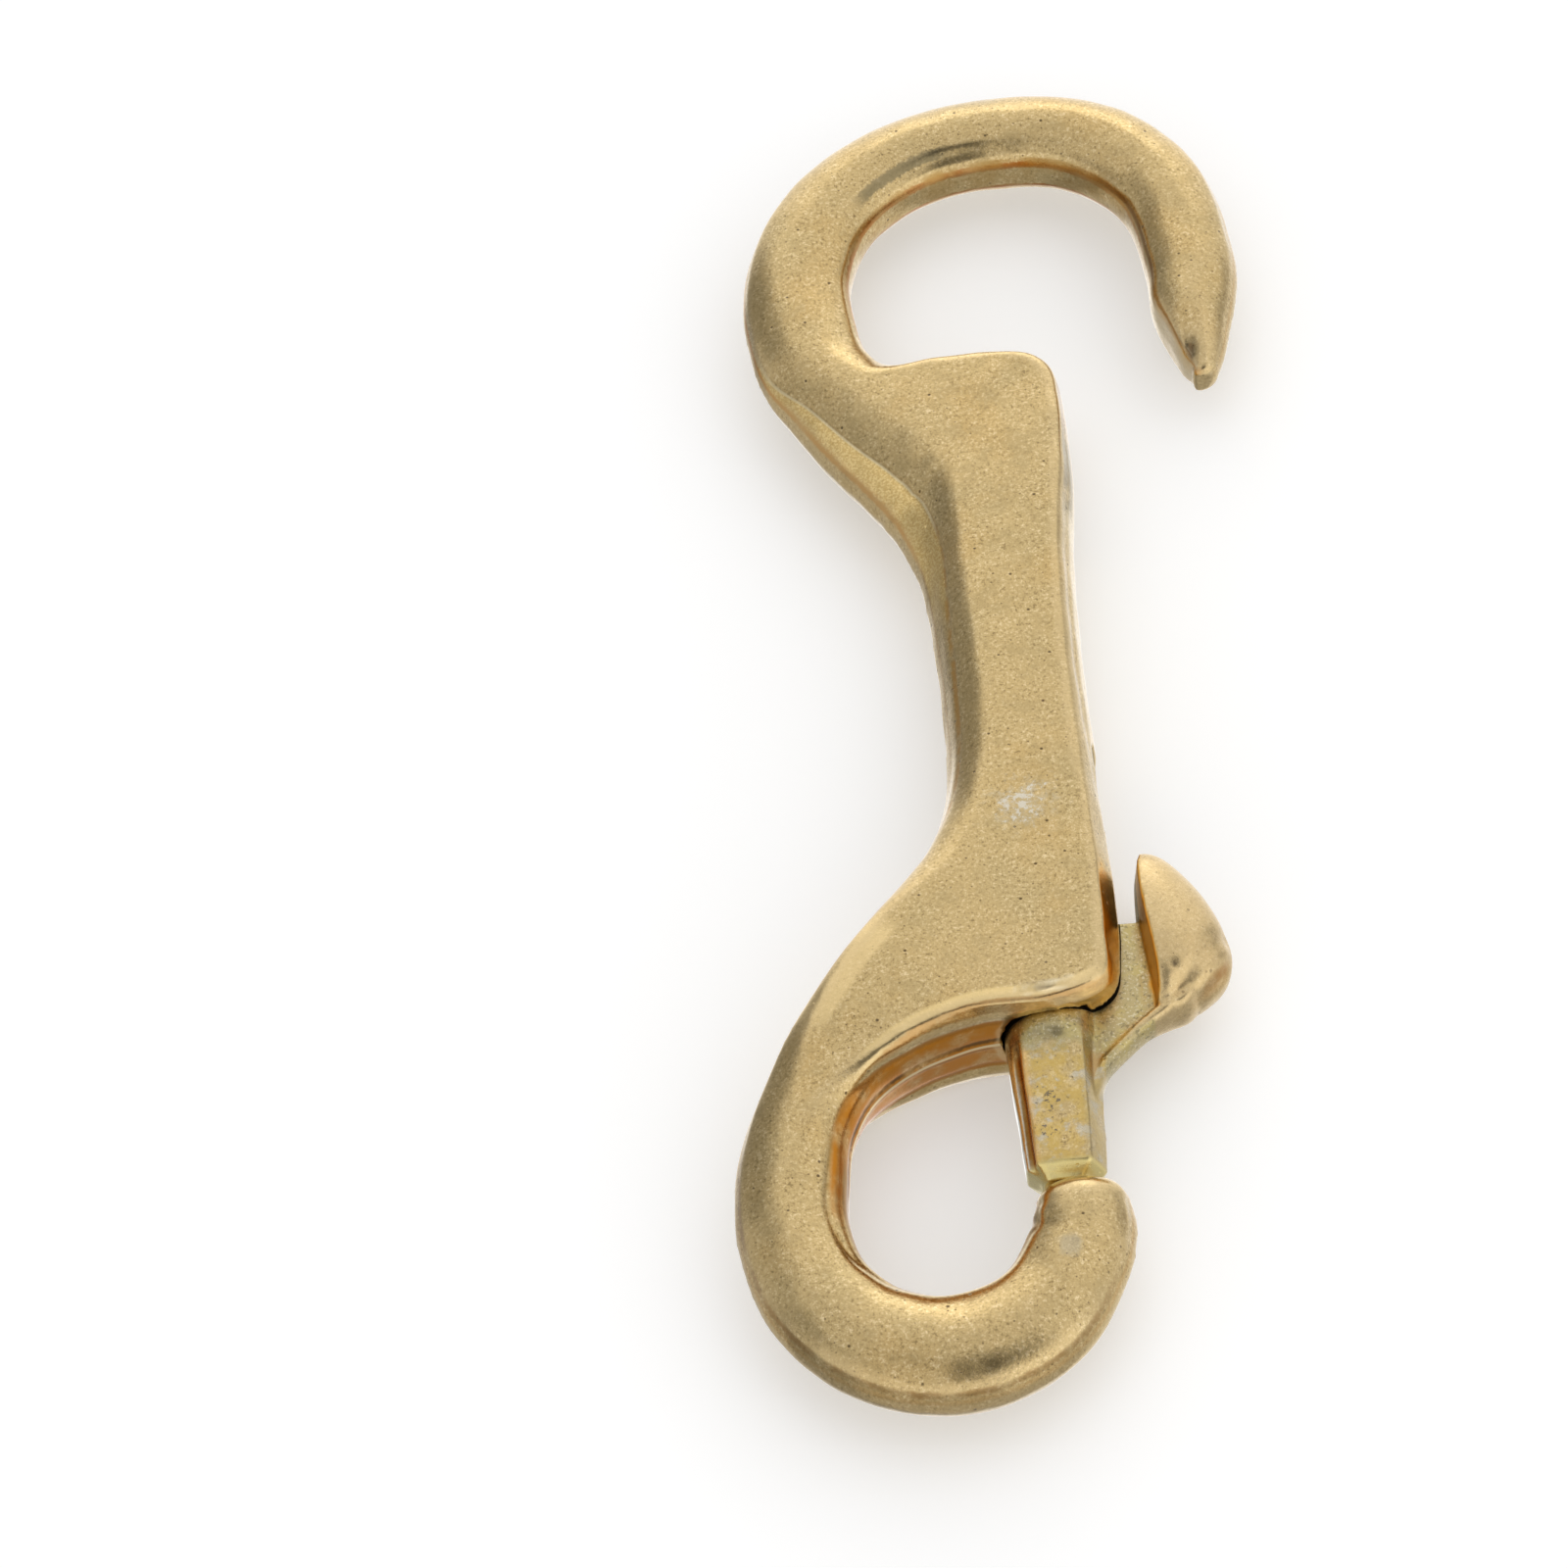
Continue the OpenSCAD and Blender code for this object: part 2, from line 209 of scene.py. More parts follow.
SNAP_END = [
    (3.35, HOOK_END_Y - 3.9, -1.95, HOOK_END_Y - 2.7,
     2.5, 0.65, 0.3, 1, 2.4, 1.75, 0.62, 0.7, 0.35, 1.3, 2.1, 1.75, 0.62),
    (3.6, HOOK_END_Y - 2.6, -1.95, HOOK_END_Y - 1.9,
     2.5, 0.65, 0.3, 1, 2.3, 1.75, 0.6, 0.7, 0.35, 1.3, 2.1, 1.75, 0.6),
    (3.45, HOOK_END_Y - 1.4, -1.75, HOOK_END_Y - 1.4,
     2.45, 0.65, 0.3, 1, 2.2, 1.75, 0.6, 0.7, 0.35, 1.3, 2.1, 1.75, 0.6)]

# columns: angle about the hook's middle, radius to the rod's middle, half width of the rod, inner
# crease from the edge, its height
OPEN_MID = (0.5, 37.7)
OPEN_ROD = [(-3, 11.95, 2.78, 0.25, 1.3), (28, 12.2, 3.02, 0.2, 1.1), (58, 12, 3.15, 0.2, 1.1),
            (88, 11.05, 3, 0.2, 1.1), (118, 11.02, 3.03, 0.2, 1.1), (148, 11.42, 3.2, 0.2, 1.1),
            (178, 11.85, 3.38, 0.2, 1.1), (206, 12.53, 3.47, 0.2, 1.1)]
SNAP_MID = (-6.7, -26.9)
SNAP_ROD = [(160, 8.05, 3.15, 0.95, 1.65), (188, 7.75, 3.05, 1, 1.7), (218, 8.1, 3.15, 0.7, 1.5),
            (248, 8.55, 3.26, 0.3, 1.15), (278, 8.78, 3.31, 0.2, 1.1), (308, 8.55, 3.15, 0.25, 1.15),
            (336, 7.85, 2.87, 0.35, 1.25)]
# a rod's other columns: on the outer side land, crease, its height, bend and steepness, and on the
# inner side land, bend and steepness
ROD_OUTER = (0.65, 0.3, 1, 1.75, 0.68)
ROD_INNER = (0.85, 1.75, 0.7)

# %% [markdown]
# ## The loft
# The rows are filled in and eased, so that the form flows. Each becomes a closed section, and at both
# ends the sections shrink on a quarter round, as a filed end does.

# %% The loft
OUTER_SIDE = slice(5, 11)
INNER_SIDE = slice(11, 17)
WIDTHS = (6, 8, 12, 14)
HEIGHTS = (4, 5, 7, 11, 13)
ROW_STEPS = 9
EASE_ROUNDS = 14
LAND_STEP = 0.05
OUTER_LEAN = 0.25
OUTER_SWELL = 1.3
INNER_LEAN = 0.04
INNER_SWELL = 1.9
BEAK_AIM = np.array([-0.3, -0.95])
BEAK_TURN = np.array([86, 76, 65, 52, 38, 24, 12])
HOOK_AIM = np.array([0, 1])
HOOK_TURN = np.array([8, 16, 25, 35, 45, 55, 65, 74, 82])


def rod_rows(middle, table):
    """Section rows of a round rod: the outer and inner edges lie at radius + and - half width from
    the hook's middle, in the direction (cos angle, sin angle)."""
    angle, radius, half, inner_in, inner_high = np.array(table, float).T
    aim = np.stack([np.cos(np.radians(angle)), np.sin(np.radians(angle))], axis=-1)
    outer = np.array(middle) + aim * (radius + half)[:, None]
    inner = np.array(middle) + aim * (radius - half)[:, None]
    one = np.ones_like(half)
    land, crease, crease_z, bend, start = (value * one for value in ROD_OUTER)
    inner_land, inner_bend, inner_start = (value * one for value in ROD_INNER)
    return np.column_stack([
        outer, inner, ROD_HALF * one, land, crease, crease_z, half - crease, bend, start,
        inner_land, inner_in, inner_high, half - inner_in, inner_bend, inner_start])


def rounded_end(row, aim, angles, size):
    """Copies of a section that close it with a quarter round: at each angle the section shrinks by
    size * (1 - cos) all round and moves on by size * sin along aim."""
    turn_in = size * (1 - np.cos(np.radians(angles)))
    move_on = size * np.sin(np.radians(angles))
    rows = np.repeat(row[None], len(angles), axis=0)
    across = (row[0:2] - row[2:4]) / np.linalg.norm(row[0:2] - row[2:4])
    rows[:, 0:2] += move_on[:, None] * aim - turn_in[:, None] * across
    rows[:, 2:4] += move_on[:, None] * aim + turn_in[:, None] * across
    for height in HEIGHTS:
        rows[:, height] *= 1 - turn_in / row[4]
    return rows


def side_curve(top, side, lean, swell):
    """Half a section's edge, from the middle of the land up to the top: s is the way in from the edge
    and z the height. The land rises and leans in by lean for each mm. The terrace goes on to the
    crease as 1 - (1 - w) ** swell, and the form rises to its top as (1 - (1 - u) ** bend) ** start."""
    land, crease, crease_z, run, bend, start = (side[:, k, None] for k in range(6))
    crease_z = np.minimum(crease_z, top - 0.1)
    land = np.minimum(land, crease_z - 0.05)
    up = np.array([0, 0.4, 0.8, 0.97])[None]
    w = (np.arange(7) / 6)[None]
    u = ((np.arange(1, 19) / 18) ** 1.6)[None]
    foot = np.minimum(lean * land + LAND_STEP, crease * 0.6)
    s = np.hstack([(foot - LAND_STEP * 0.5) * up, foot + (crease - foot) * w, crease + run * u])
    z = np.hstack([land * up, land + (crease_z - land) * (1 - (1 - w) ** swell),
                   crease_z + (top - crease_z) * (1 - (1 - u) ** bend) ** start])
    return s, z


def casting_rings(rows):
    """Closed sections: the outer side's curve, a flat top, the inner side's curve turned round, and
    the same again mirrored below z = 0. Runs that together are wider than the section shrink."""
    rows = rows.copy()
    wide = np.linalg.norm(rows[:, 0:2] - rows[:, 2:4], axis=-1)
    room = wide - 0.1
    needed = rows[:, 6] + rows[:, 8] + rows[:, 12] + rows[:, 14]
    squeeze = np.minimum(1, room / needed)
    for width in WIDTHS:
        rows[:, width] *= squeeze
    top = np.minimum(rows[:, 4, None], BARREL_HALF)
    out_s, out_z = side_curve(top, rows[:, OUTER_SIDE], OUTER_LEAN, OUTER_SWELL)
    in_s, in_z = side_curve(top, rows[:, INNER_SIDE], INNER_LEAN, INNER_SWELL)
    in_s = wide[:, None] - in_s[:, ::-1]
    in_z = in_z[:, ::-1]
    t = (np.arange(1, 14) / 14)[None]
    top_s = out_s[:, -1:] + (in_s[:, :1] - out_s[:, -1:]) * t
    top_z = top + 0 * t
    s = np.hstack([out_s, top_s, in_s])
    z = np.hstack([out_z, top_z, in_z])
    s = np.hstack([s, s[:, -2:0:-1]])
    z = np.hstack([z, -z[:, -2:0:-1]])
    share = (s / wide[:, None])[..., None]
    place = rows[:, None, 0:2] * (1 - share) + rows[:, None, 2:4] * share
    return np.concatenate([place, z[..., None]], axis=-1)


key_rows = np.vstack([BEAK, rod_rows(OPEN_MID, OPEN_ROD), UPPER_SHOULDER, SHANK, LOWER_SHOULDER,
                      rod_rows(SNAP_MID, SNAP_ROD), SNAP_END])
path_rows = smooth_rows(key_rows, ROW_STEPS)
outer_and_form = [0, 1] + list(range(4, 17))
for _ in range(EASE_ROUNDS):
    eased = (path_rows[:-2] + 2 * path_rows[1:-1] + path_rows[2:]) / 4
    path_rows[1:-1, outer_and_form] = eased[:, outer_and_form]
middle_rows = path_rows
path_rows = np.vstack([rounded_end(path_rows[0], BEAK_AIM, BEAK_TURN, BEAK_ROUND), path_rows,
                       rounded_end(path_rows[-1], HOOK_AIM, HOOK_TURN, HOOK_ROUND)])
casting = skin("casting", casting_rings(path_rows) + REST)

# %% [markdown]
# ## Boring and slotting
# The barrel has a blind round bore for bolt and spring, and a slot in its side for the thumb piece's
# web. Two cutters are taken away from the loft. A voxel remesh then melts the cut edges a little, as
# casting and tumbling do, and leaves one even mesh on which small dents can be pressed.

# %% Cutters and remesh
def turned(r, y, a):
    """Rings about the barrel's axis, on its place in the scene: points (r cos a, y, r sin a)."""
    return np.stack([r * np.cos(a), y + 0 * a, r * np.sin(a)], axis=-1) + REST


def steps_round(n):
    """Angles of n even steps round a circle."""
    return np.arange(n) / n * 2 * np.pi


def extruded(name, outline, half):
    """A flat plate: the (x, y) outline carried from z = -half to z = half."""
    outline = np.array(outline, float)
    low = np.column_stack([outline, np.full(len(outline), -half)])
    high = np.column_stack([outline, np.full(len(outline), half)])
    return skin(name, np.stack([low, high]) + REST)


def finished(piece, *modifiers):
    """Makes the result of modifiers, given as (type, {setting: value}), the piece's mesh."""
    for kind, settings in modifiers:
        modifier = piece.modifiers.new(kind.title(), kind)
        for setting, value in settings.items():
            setattr(modifier, setting, value)
    bpy.context.view_layer.update()
    graph = bpy.context.evaluated_depsgraph_get()
    mesh = bpy.data.meshes.new_from_object(piece.evaluated_get(graph), depsgraph=graph)
    piece.modifiers.clear()
    piece.data = mesh
    return piece


def shade_smooth(piece):
    piece.data.polygons.foreach_set("use_smooth", np.ones(len(piece.data.polygons), bool))


BODY_VOXEL = 0.222
below_y = MOUTH_Y - 4
beyond_x = 8
bore_y = np.array([below_y, MOUTH_Y + 0.5, MOUTH_Y + 1, BORE_END_Y])[:, None]
bore_r = np.array([MOUTH_R, MOUTH_R, BORE_R, BORE_R])[:, None]
bore = skin("bore_cutter", turned(bore_r, bore_y, steps_round(96)))
slot = extruded("slot_cutter", [(0, below_y), (beyond_x, below_y), (beyond_x, SLOT_END_Y), (0, SLOT_END_Y)],
                SLOT_W / 2)
cut = [("BOOLEAN", {"object": cutter, "operation": "DIFFERENCE", "solver": "EXACT"})
       for cutter in (bore, slot)]
body = finished(casting, *cut, ("REMESH", {"mode": "VOXEL", "voxel_size": BODY_VOXEL * MM}))
body.name = "cast_body"
for cutter in (bore, slot):
    bpy.data.objects.remove(cutter)
print("cast body:", len(body.data.vertices), "points,", len(body.data.polygons), "faces")


# %% [markdown]
# ## Relaxing a remeshed skin
# A voxel mesh has faint steps. Each point moves part of the way to the mean of its neighbours and a
# little more back, so the steps go and the size stays. The same sums tell how hollow or how proud
# the surface is at each point, which later steers tarnish, wear and a painted edge highlight.

# %% Neighbour sums
def triples(items, key):
    """Three numbers from each item of a mesh, as an (n, 3) array."""
    flat = np.empty(len(items) * 3, np.float32)
    items.foreach_get(key, flat)
    return flat.reshape(-1, 3).astype(float)


def points_of(mesh):
    """The mesh's points in mm."""
    return triples(mesh.vertices, "co") / MM


def move_points(mesh, points):
    """Gives the mesh these points, in mm."""
    mesh.vertices.foreach_set("co", (points * MM).astype(np.float32).ravel())
    mesh.update()


def neighbour_mean(mesh):
    """A function that gives the mean of each point's neighbours, for any column of values."""
    pairs = np.empty(len(mesh.edges) * 2, np.int32)
    mesh.edges.foreach_get("vertices", pairs)
    a, b = pairs.reshape(-1, 2).T
    count = len(mesh.vertices)
    degree = np.maximum(np.bincount(np.r_[a, b], minlength=count), 1)

    def mean(values):
        columns = values.reshape(count, -1).T
        sums = [np.bincount(a, c[b], count) + np.bincount(b, c[a], count) for c in columns]
        return (np.array(sums) / degree).T.reshape(values.shape)

    return mean


def push_out(mesh, move):
    """Moves each point along its normal, by so many mm."""
    normals = triples(mesh.vertex_normals, "vector")
    move_points(mesh, points_of(mesh) + move[:, None] * normals)


def relax(mesh, rounds):
    """Each round moves a point 0.5 of the way to its neighbours' mean and then 0.52 back."""
    mean = neighbour_mean(mesh)
    points = points_of(mesh)
    for _ in range(rounds):
        for share in (0.5, -0.52):
            points = points + share * (mean(points) - points)
    move_points(mesh, points)


def hollowness(mesh, rounds):
    """How hollow the skin is at each point, in mm: the height of the neighbours' mean above the
    point, along the normal, after rounds of taking means. It is below 0 where the skin is proud."""
    mean = neighbour_mean(mesh)
    points = points_of(mesh)
    smooth = points
    for _ in range(rounds):
        smooth = mean(smooth)
    hollow = np.einsum("ij,ij->i", smooth - points, triples(mesh.vertex_normals, "vector"))
    return mean(mean(hollow))


def keep_in_box(mesh, node, closer=0):
    """Points that stand outside the construction's box for this node go back to its sides. The box
    may reach closer to the hook, by this much."""
    low, high = (np.array(corner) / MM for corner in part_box(node))
    low[1] -= closer
    move_points(mesh, np.clip(points_of(mesh), low, high))


def give(mesh, **marks):
    """Stores each mark, one number a point, on the mesh under its name, for the material to read."""
    for name, values in marks.items():
        attribute = mesh.attributes.new(name, "FLOAT", "POINT")
        attribute.data.foreach_set("value", values.astype(np.float32))


relax(body.data, 4)

# %% [markdown]
# ## Marks that follow the casting
# Tarnish and dirt gather along the land and the creases. For each point we find the nearest place on
# the outer and on the inner edge, seen from above, and keep how far it is from the land's top and from
# each crease. The material can then draw a thin clean line where such a distance is zero.

# %% Distances to the edges
def nearest_on(points, line, block=8000):
    """Distance in plan from each point to a polyline, and the place on it, counted in its rows:
    the nearest corner first, and then the nearer of the two stretches that meet there."""
    gaps, places = [], []
    for first in range(0, len(points), block):
        p = points[first:first + block, :2]
        corner = ((p[:, None] - line[None]) ** 2).sum(-1).argmin(1)
        best_gap = np.full(len(p), np.inf)
        best_place = corner.astype(float)
        for shift in (-1, 0):
            a = np.clip(corner + shift, 0, len(line) - 2)
            run = line[a + 1] - line[a]
            t = np.clip(((p - line[a]) * run).sum(-1) / np.maximum((run ** 2).sum(-1), 1e-9), 0, 1)
            gap = np.linalg.norm(p - line[a] - t[:, None] * run, axis=-1)
            closer = gap < best_gap
            best_gap = np.where(closer, gap, best_gap)
            best_place = np.where(closer, a + t, best_place)
        gaps.append(best_gap)
        places.append(best_place)
    return np.concatenate(gaps), np.concatenate(places)


def at_place(places, column):
    """A column of the section rows, read at places between them."""
    return np.interp(places, np.arange(len(middle_rows)), column)


def rise(x, low, high):
    """0 below low, 1 above high and a smooth rise between. With low above high it falls."""
    t = np.clip((x - low) / (high - low), 0, 1)
    return t * t * (3 - 2 * t)


body_points = points_of(body.data) - REST
outer_gap, outer_place = nearest_on(body_points, middle_rows[:, 0:2])
inner_gap, inner_place = nearest_on(body_points, middle_rows[:, 2:4])
on_outer = outer_gap < inner_gap
place = np.where(on_outer, outer_place, inner_place) / ROW_STEPS
land_top = np.where(on_outer, at_place(outer_place, middle_rows[:, 5]),
                    at_place(inner_place, middle_rows[:, 11]))
height = body_points[:, 2]
above_land = np.abs(height) - land_top
outer_in = outer_gap - at_place(outer_place, middle_rows[:, 6])
inner_in = inner_gap - at_place(inner_place, middle_rows[:, 12])
print("places run from 0 to", (len(middle_rows) - 1) / ROW_STEPS, "rows of the tables")

# %% [markdown]
# ## Small forms on the skin
# The last forms are too small or too local for the tables: gentle unevenness, a rolled lip and a
# parting line on the eye's wall, a ridge inside the open hook where the mould was worn, grooves along
# the creases, a nick and a dent. Each moves the points a little along their normals, in its mask.

# %% Rolls, ridges and dents
def window(x, low, high, soft_edge=0.5):
    """1 from low to high, falling to 0 over soft_edge outside."""
    return rise(x, low - soft_edge, low) * rise(x, high + soft_edge, high)


def ridge(x, width):
    """A rounded ridge across a line where x is zero: exp(-(x / width) ** 2)."""
    return np.exp(-(x / width) ** 2)


def ridges(x, table):
    """The sum of high * ridge(x - middle, width) over the rows of a table."""
    return sum(high * ridge(x - middle, width) for high, middle, width in table)


def waves(points, lengths):
    """The mean of sines that run in different directions with these wavelengths in mm."""
    total = 0
    for k, length in enumerate(lengths):
        turn = 2.4 * k
        aim = np.array([math.cos(turn), math.sin(turn), 0.5 * math.cos(3.1 * turn)])
        total = total + np.sin(points @ aim * 2 * np.pi / length + 1.7 * k)
    return total / len(lengths)


# columns: height in mm, below 0 for a groove, where the ridge's middle runs, its width. The first two
# run at a height off the clasp's middle plane, the last at a distance from the inner edge.
LIP = [(0.12, 2.75, 0.42), (-0.07, 1.95, 0.22)]
PARTING_LINE = [(0.09, 0, 0.12), (-0.07, 0.42, 0.2)]
WORN_ARC = [(0.05, 1.4, 0.5), (-0.1, 0.72, 0.4)]
NICK_LINE = np.array([(-1.5, -16.05), (-0.1, -15.98), (1.5, -15.7)])
NICK_DEEP = 0.22
BEAK_DENT = np.array([11.75, 29.55, 1.3])
DENT_STRETCH = [1.3, 0.7, 1]
DENT_DEEP = 0.45
UNEVEN = 0.045
WAVE_LENGTHS = (7.3, 5.1, 3.9, 3.1, 2.6, 2.2)
CREASE_DEEP = 0.05

eye_wall = window(place, 30.6, 35.5, 1) * rise(inner_gap, 1, 0.6)
open_arc = window(place, 7.4, 8.8, 0.9) * rise(inner_gap, 2.6, 2)
on_top = rise(height, 2.6, 3.1)
nick_gap, nick_place = nearest_on(body_points, NICK_LINE)
nick_share = 0.35 * window(nick_place, 0.1, 1.7, 0.3) + 0.65 * window(nick_place, 0.75, 1.1, 0.3)
nick = ridge(nick_gap, 0.17) * nick_share * on_top
nick_rim = ridge(nick_gap - 0.24, 0.1) * window(nick_place, 0.1, 1.9, 0.2) * on_top
beak_dent = ridge(np.linalg.norm((body_points - BEAK_DENT) * DENT_STRETCH, axis=1), 0.55)
creases = ridge(outer_in, 0.16) + ridge(inner_in, 0.14) * (1 - eye_wall)
move = (UNEVEN * waves(body_points, WAVE_LENGTHS)
        + eye_wall * (ridges(np.abs(height), LIP) + ridges(height, PARTING_LINE))
        + open_arc * ridges(inner_gap, WORN_ARC)
        - NICK_DEEP * nick - DENT_DEEP * beak_dent - CREASE_DEEP * creases)
push_out(body.data, move)
relax(body.data, 1)
keep_in_box(body.data, "clasp_body")

give(body.data, above_land=above_land, past_outer_crease=outer_in, past_inner_crease=inner_in,
     from_inner_edge=inner_gap, from_outer_edge=outer_gap, place=place,
     nick=np.maximum(nick, beak_dent), nick_rim=nick_rim, hollow=hollowness(body.data, 10))
print("points moved by", round(move.min(), 2), "to", round(move.max(), 2), "mm")

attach(body, "clasp")
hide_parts("clasp_body")

# %% [markdown]
# ## The bolt
# The bolt is a second casting: a plunger, round where it slides and faceted where it closes the hook,
# a flat web that passes out through the slot with a rounded strut along its lower edge, and a
# shell-shaped thumb piece. They are made as closed shapes that overlap.

# %% Bolt
BOLT_R = 2.53
BOLT_TIP_R = 2.15
TAPER_END_Y = -19.1
TIP_CONE = 0.75
# corners of the plunger's section, in degrees from the thumb's side round over the top
FACETS = np.array([0, 51, 134, 162, 198, 226, 309, 360])
GROOVE_AT = 144
# corners of the web's plate: x, y
WEB = [(0, -10.6), (0, -20.6), (1.9, -20.6), (2.4, -19.4), (3.4, -18.3), (4.6, -17.1), (5.6, -16),
       (6.3, -14.8), (6.3, -10.6)]
WEB_HALF = 1.1


def plunger_rings(ring_n=240):
    """Rings whose radius tapers to the tip, which ends in a cone. Where the bolt closes the hook
    its section turns into flats between FACETS: on a flat with middle m and half width h the radius is
    cos(h) / cos(a - m), a little crowned, and the flat at the left is grooved."""
    y = np.concatenate([BOLT_END_Y + np.array([0, 0, 0.1, 0.25, 0.45, TIP_CONE, TIP_CONE + 0.1]),
                        np.linspace(BOLT_END_Y + TIP_CONE + 0.3, TAPER_END_Y, 50),
                        [-18.2, -17.6, -17, -12, BOLT_BACK_Y - 0.4, BOLT_BACK_Y, BOLT_BACK_Y]])[:, None]
    r = np.interp(y, [BOLT_END_Y, TAPER_END_Y], [BOLT_TIP_R, BOLT_R])
    r = r - 0.8 * rise(y, BOLT_END_Y + TIP_CONE + 0.05, BOLT_END_Y) ** 0.8
    r[[0, -1]] = 0.6
    r[-2] -= 0.4
    a = np.arange(ring_n) / ring_n * 360
    flat = np.searchsorted(FACETS, a, side="right") - 1
    middle = (FACETS[flat] + FACETS[flat + 1]) / 2
    half = (FACETS[flat + 1] - FACETS[flat]) / 2
    flattened = np.cos(np.radians(half)) / np.cos(np.radians(a - middle))
    shaft = rise(y, -17.6, -18.6)
    groove = 0.24 * shaft * ridge(a - GROOVE_AT, 6.5) * rise(y, -25.9, -25.4)
    r = r * (1 - 0.85 * shaft * (1 - flattened)) - groove
    rings = turned(r, y, np.radians(a))
    rings[..., 0] += 0.1 * rise(y, -19, -25)
    return rings


# columns: y, inner x, outer x, half thickness, how far the inner side leans in at its middle
THUMB_ROWS = [
    (-6.35, 5.85, 6.3, 0.9, 0.1), (-6.6, 5.65, 7, 1.75, 0.2), (-7.5, 5.45, 7.85, 2.35, 0.25),
    (-9.1, 5.45, 8.9, 2.75, 0.35), (-11, 5.6, 9.7, 2.95, 0.5), (-12.7, 5.8, 10.05, 2.95, 0.6),
    (-14.2, 5.95, 9.7, 2.6, 0.65), (-15.2, 5.95, 8.75, 2.05, 0.6), (-15.8, 5.85, 7.7, 1.6, 0.5),
    (-16.25, 5.7, 6.7, 1.1, 0.3)]


def thumb_rings(rows, ring_n):
    """Rings across the thumb piece, a shell with a flat inner side and a domed outer side: x = inner +
    width * cos b and z = thickness * sin b on a circle squared to the power 2 / 2.2, and then straight
    up the inner side, which leans in by lean * (1 - |z| / thickness)."""
    y, inner, outer, half, lean = (rows[:, k, None] for k in range(5))
    b = np.radians(np.linspace(90, -90, ring_n))
    dome_x = inner + (outer - inner) * soft(np.cos(b), 2.2)
    dome_z = half * soft(np.sin(b), 2.2)
    up = np.linspace(-1, 1, ring_n // 3)[1:-1]
    x = np.hstack([dome_x, inner - lean * (1 - np.abs(up))])
    z = np.hstack([dome_z, half * up])
    return np.stack([x, y + 0 * x, z], axis=-1)


# columns: x, y, half thickness in the plate's plane, middle height, half height
STRUT_ROWS = [
    (1.75, -22.6, 0.2, 0, 0.8), (1.95, -21.2, 0.28, 0.1, 0.9), (2.25, -20.1, 0.33, 0.2, 0.95),
    (2.75, -19.2, 0.36, 0.3, 0.95), (3.8, -18.1, 0.38, 0.3, 0.95), (5, -17, 0.42, 0.3, 1),
    (6.2, -16.2, 0.5, 0.2, 1.3), (7.2, -15.5, 0.7, 0.1, 1.6), (7.7, -14.5, 0.8, 0, 1.8)]


def strut_rings(rows, ring_n=40):
    """A bar along the web's lower edge: rings of middle + side * thickness * cos + up * height * sin,
    with side the direction across the bar in plan."""
    rows = smooth_rows(rows, 6)
    along = np.gradient(rows[:, 0:2], axis=0)
    along /= np.linalg.norm(along, axis=1)[:, None]
    side = np.stack([-along[:, 1], along[:, 0]], axis=-1)
    a = steps_round(ring_n)
    plan = rows[:, None, 0:2] + side[:, None] * (rows[:, 2, None] * soft(np.cos(a), 2.3))[..., None]
    height = rows[:, 3, None] + rows[:, 4, None] * soft(np.sin(a), 2.3)
    return np.concatenate([plan, height[..., None]], axis=-1)


plunger = skin("plunger", plunger_rings())
thumb = skin("thumb", thumb_rings(smooth_rows(THUMB_ROWS, 6), 60) + REST)
strut = skin("strut", strut_rings(STRUT_ROWS) + REST)
web = extruded("web", WEB, WEB_HALF)

# %% [markdown]
# ## One skin for the bolt
# The voxel remesh melts the four shapes into one skin, with soft inner corners as a casting has. A
# fold and a nick are pressed into the thumb piece. Each point is marked with what it belongs to, such
# as the groove's band, the worn corner and what lies past the barrel's lip, for the finish to use.

# %% One skin for the bolt
BOLT_VOXEL = 0.13
BOLT_END_GAP = 0.15
BOLT_WAVES = (4.3, 3.7, 3.1, 2.7)
FOLD_END = np.array([7, -14.7, 2.7])
ACROSS_FOLD = np.array([-0.76, 0.65, 0])
THUMB_NICK = np.array([6.9, -14.45, 2.7])
# rows of the casting that run along the slot, and how far in from its edge the slot's lip lies
SLOT_LIP = slice(247, 280)
SLOT_LIP_IN = 0.19
# the lip of the barrel's mouth: x, y
MOUTH_LIP = np.array([(-2.6, -16.76), (0.4, -16.62), (1.6, -16.36), (2.4, -16.08), (3.2, -15.8)])


def joined(name, *pieces):
    """One object that holds the meshes of all the pieces."""
    with bpy.context.temp_override(active_object=pieces[0], selected_editable_objects=list(pieces)):
        bpy.ops.object.join()
    pieces[0].name = name
    return pieces[0]


bolt = finished(joined("cast_bolt", plunger, web, strut, thumb),
                ("REMESH", {"mode": "VOXEL", "voxel_size": BOLT_VOXEL * MM}))
relax(bolt.data, 4)
bolt_points = points_of(bolt.data) - REST
x, y, z = bolt_points.T
off_axis = np.hypot(x, z)
fold = (bolt_points - FOLD_END) @ ACROSS_FOLD
lower_thumb = rise(x, 6.3, 7) * rise(z, 0, 0.9)
thumb_nick = ridge(np.linalg.norm(bolt_points - THUMB_NICK, axis=1), 0.32)
push_out(bolt.data, 0.03 * waves(bolt_points, BOLT_WAVES) * rise(off_axis, 2.8, 2.4)
         - lower_thumb * (0.2 * ridge(fold + 0.5, 0.55) + 0.3 * rise(fold, -1, -2.2))
         - 0.1 * thumb_nick)
relax(bolt.data, 3)
keep_in_box(bolt.data, "bolt", BOLT_END_GAP)
turn = np.degrees(np.arctan2(z, x))
outside = rise(y, -17.3, -18.2) * rise(off_axis, 2.9, 2.6)
on_web = rise(x, 2.3, 3) * rise(x, 6, 5.2) * rise(np.abs(z), 1.35, 1.15)
near_mouth = rise(y, -19.9, -17.4) * rise(x, 4.2, 3.2)
cone_y = BOLT_END_Y + TIP_CONE
beside_web = (z > WEB_HALF) | (y > WEB[0][1])
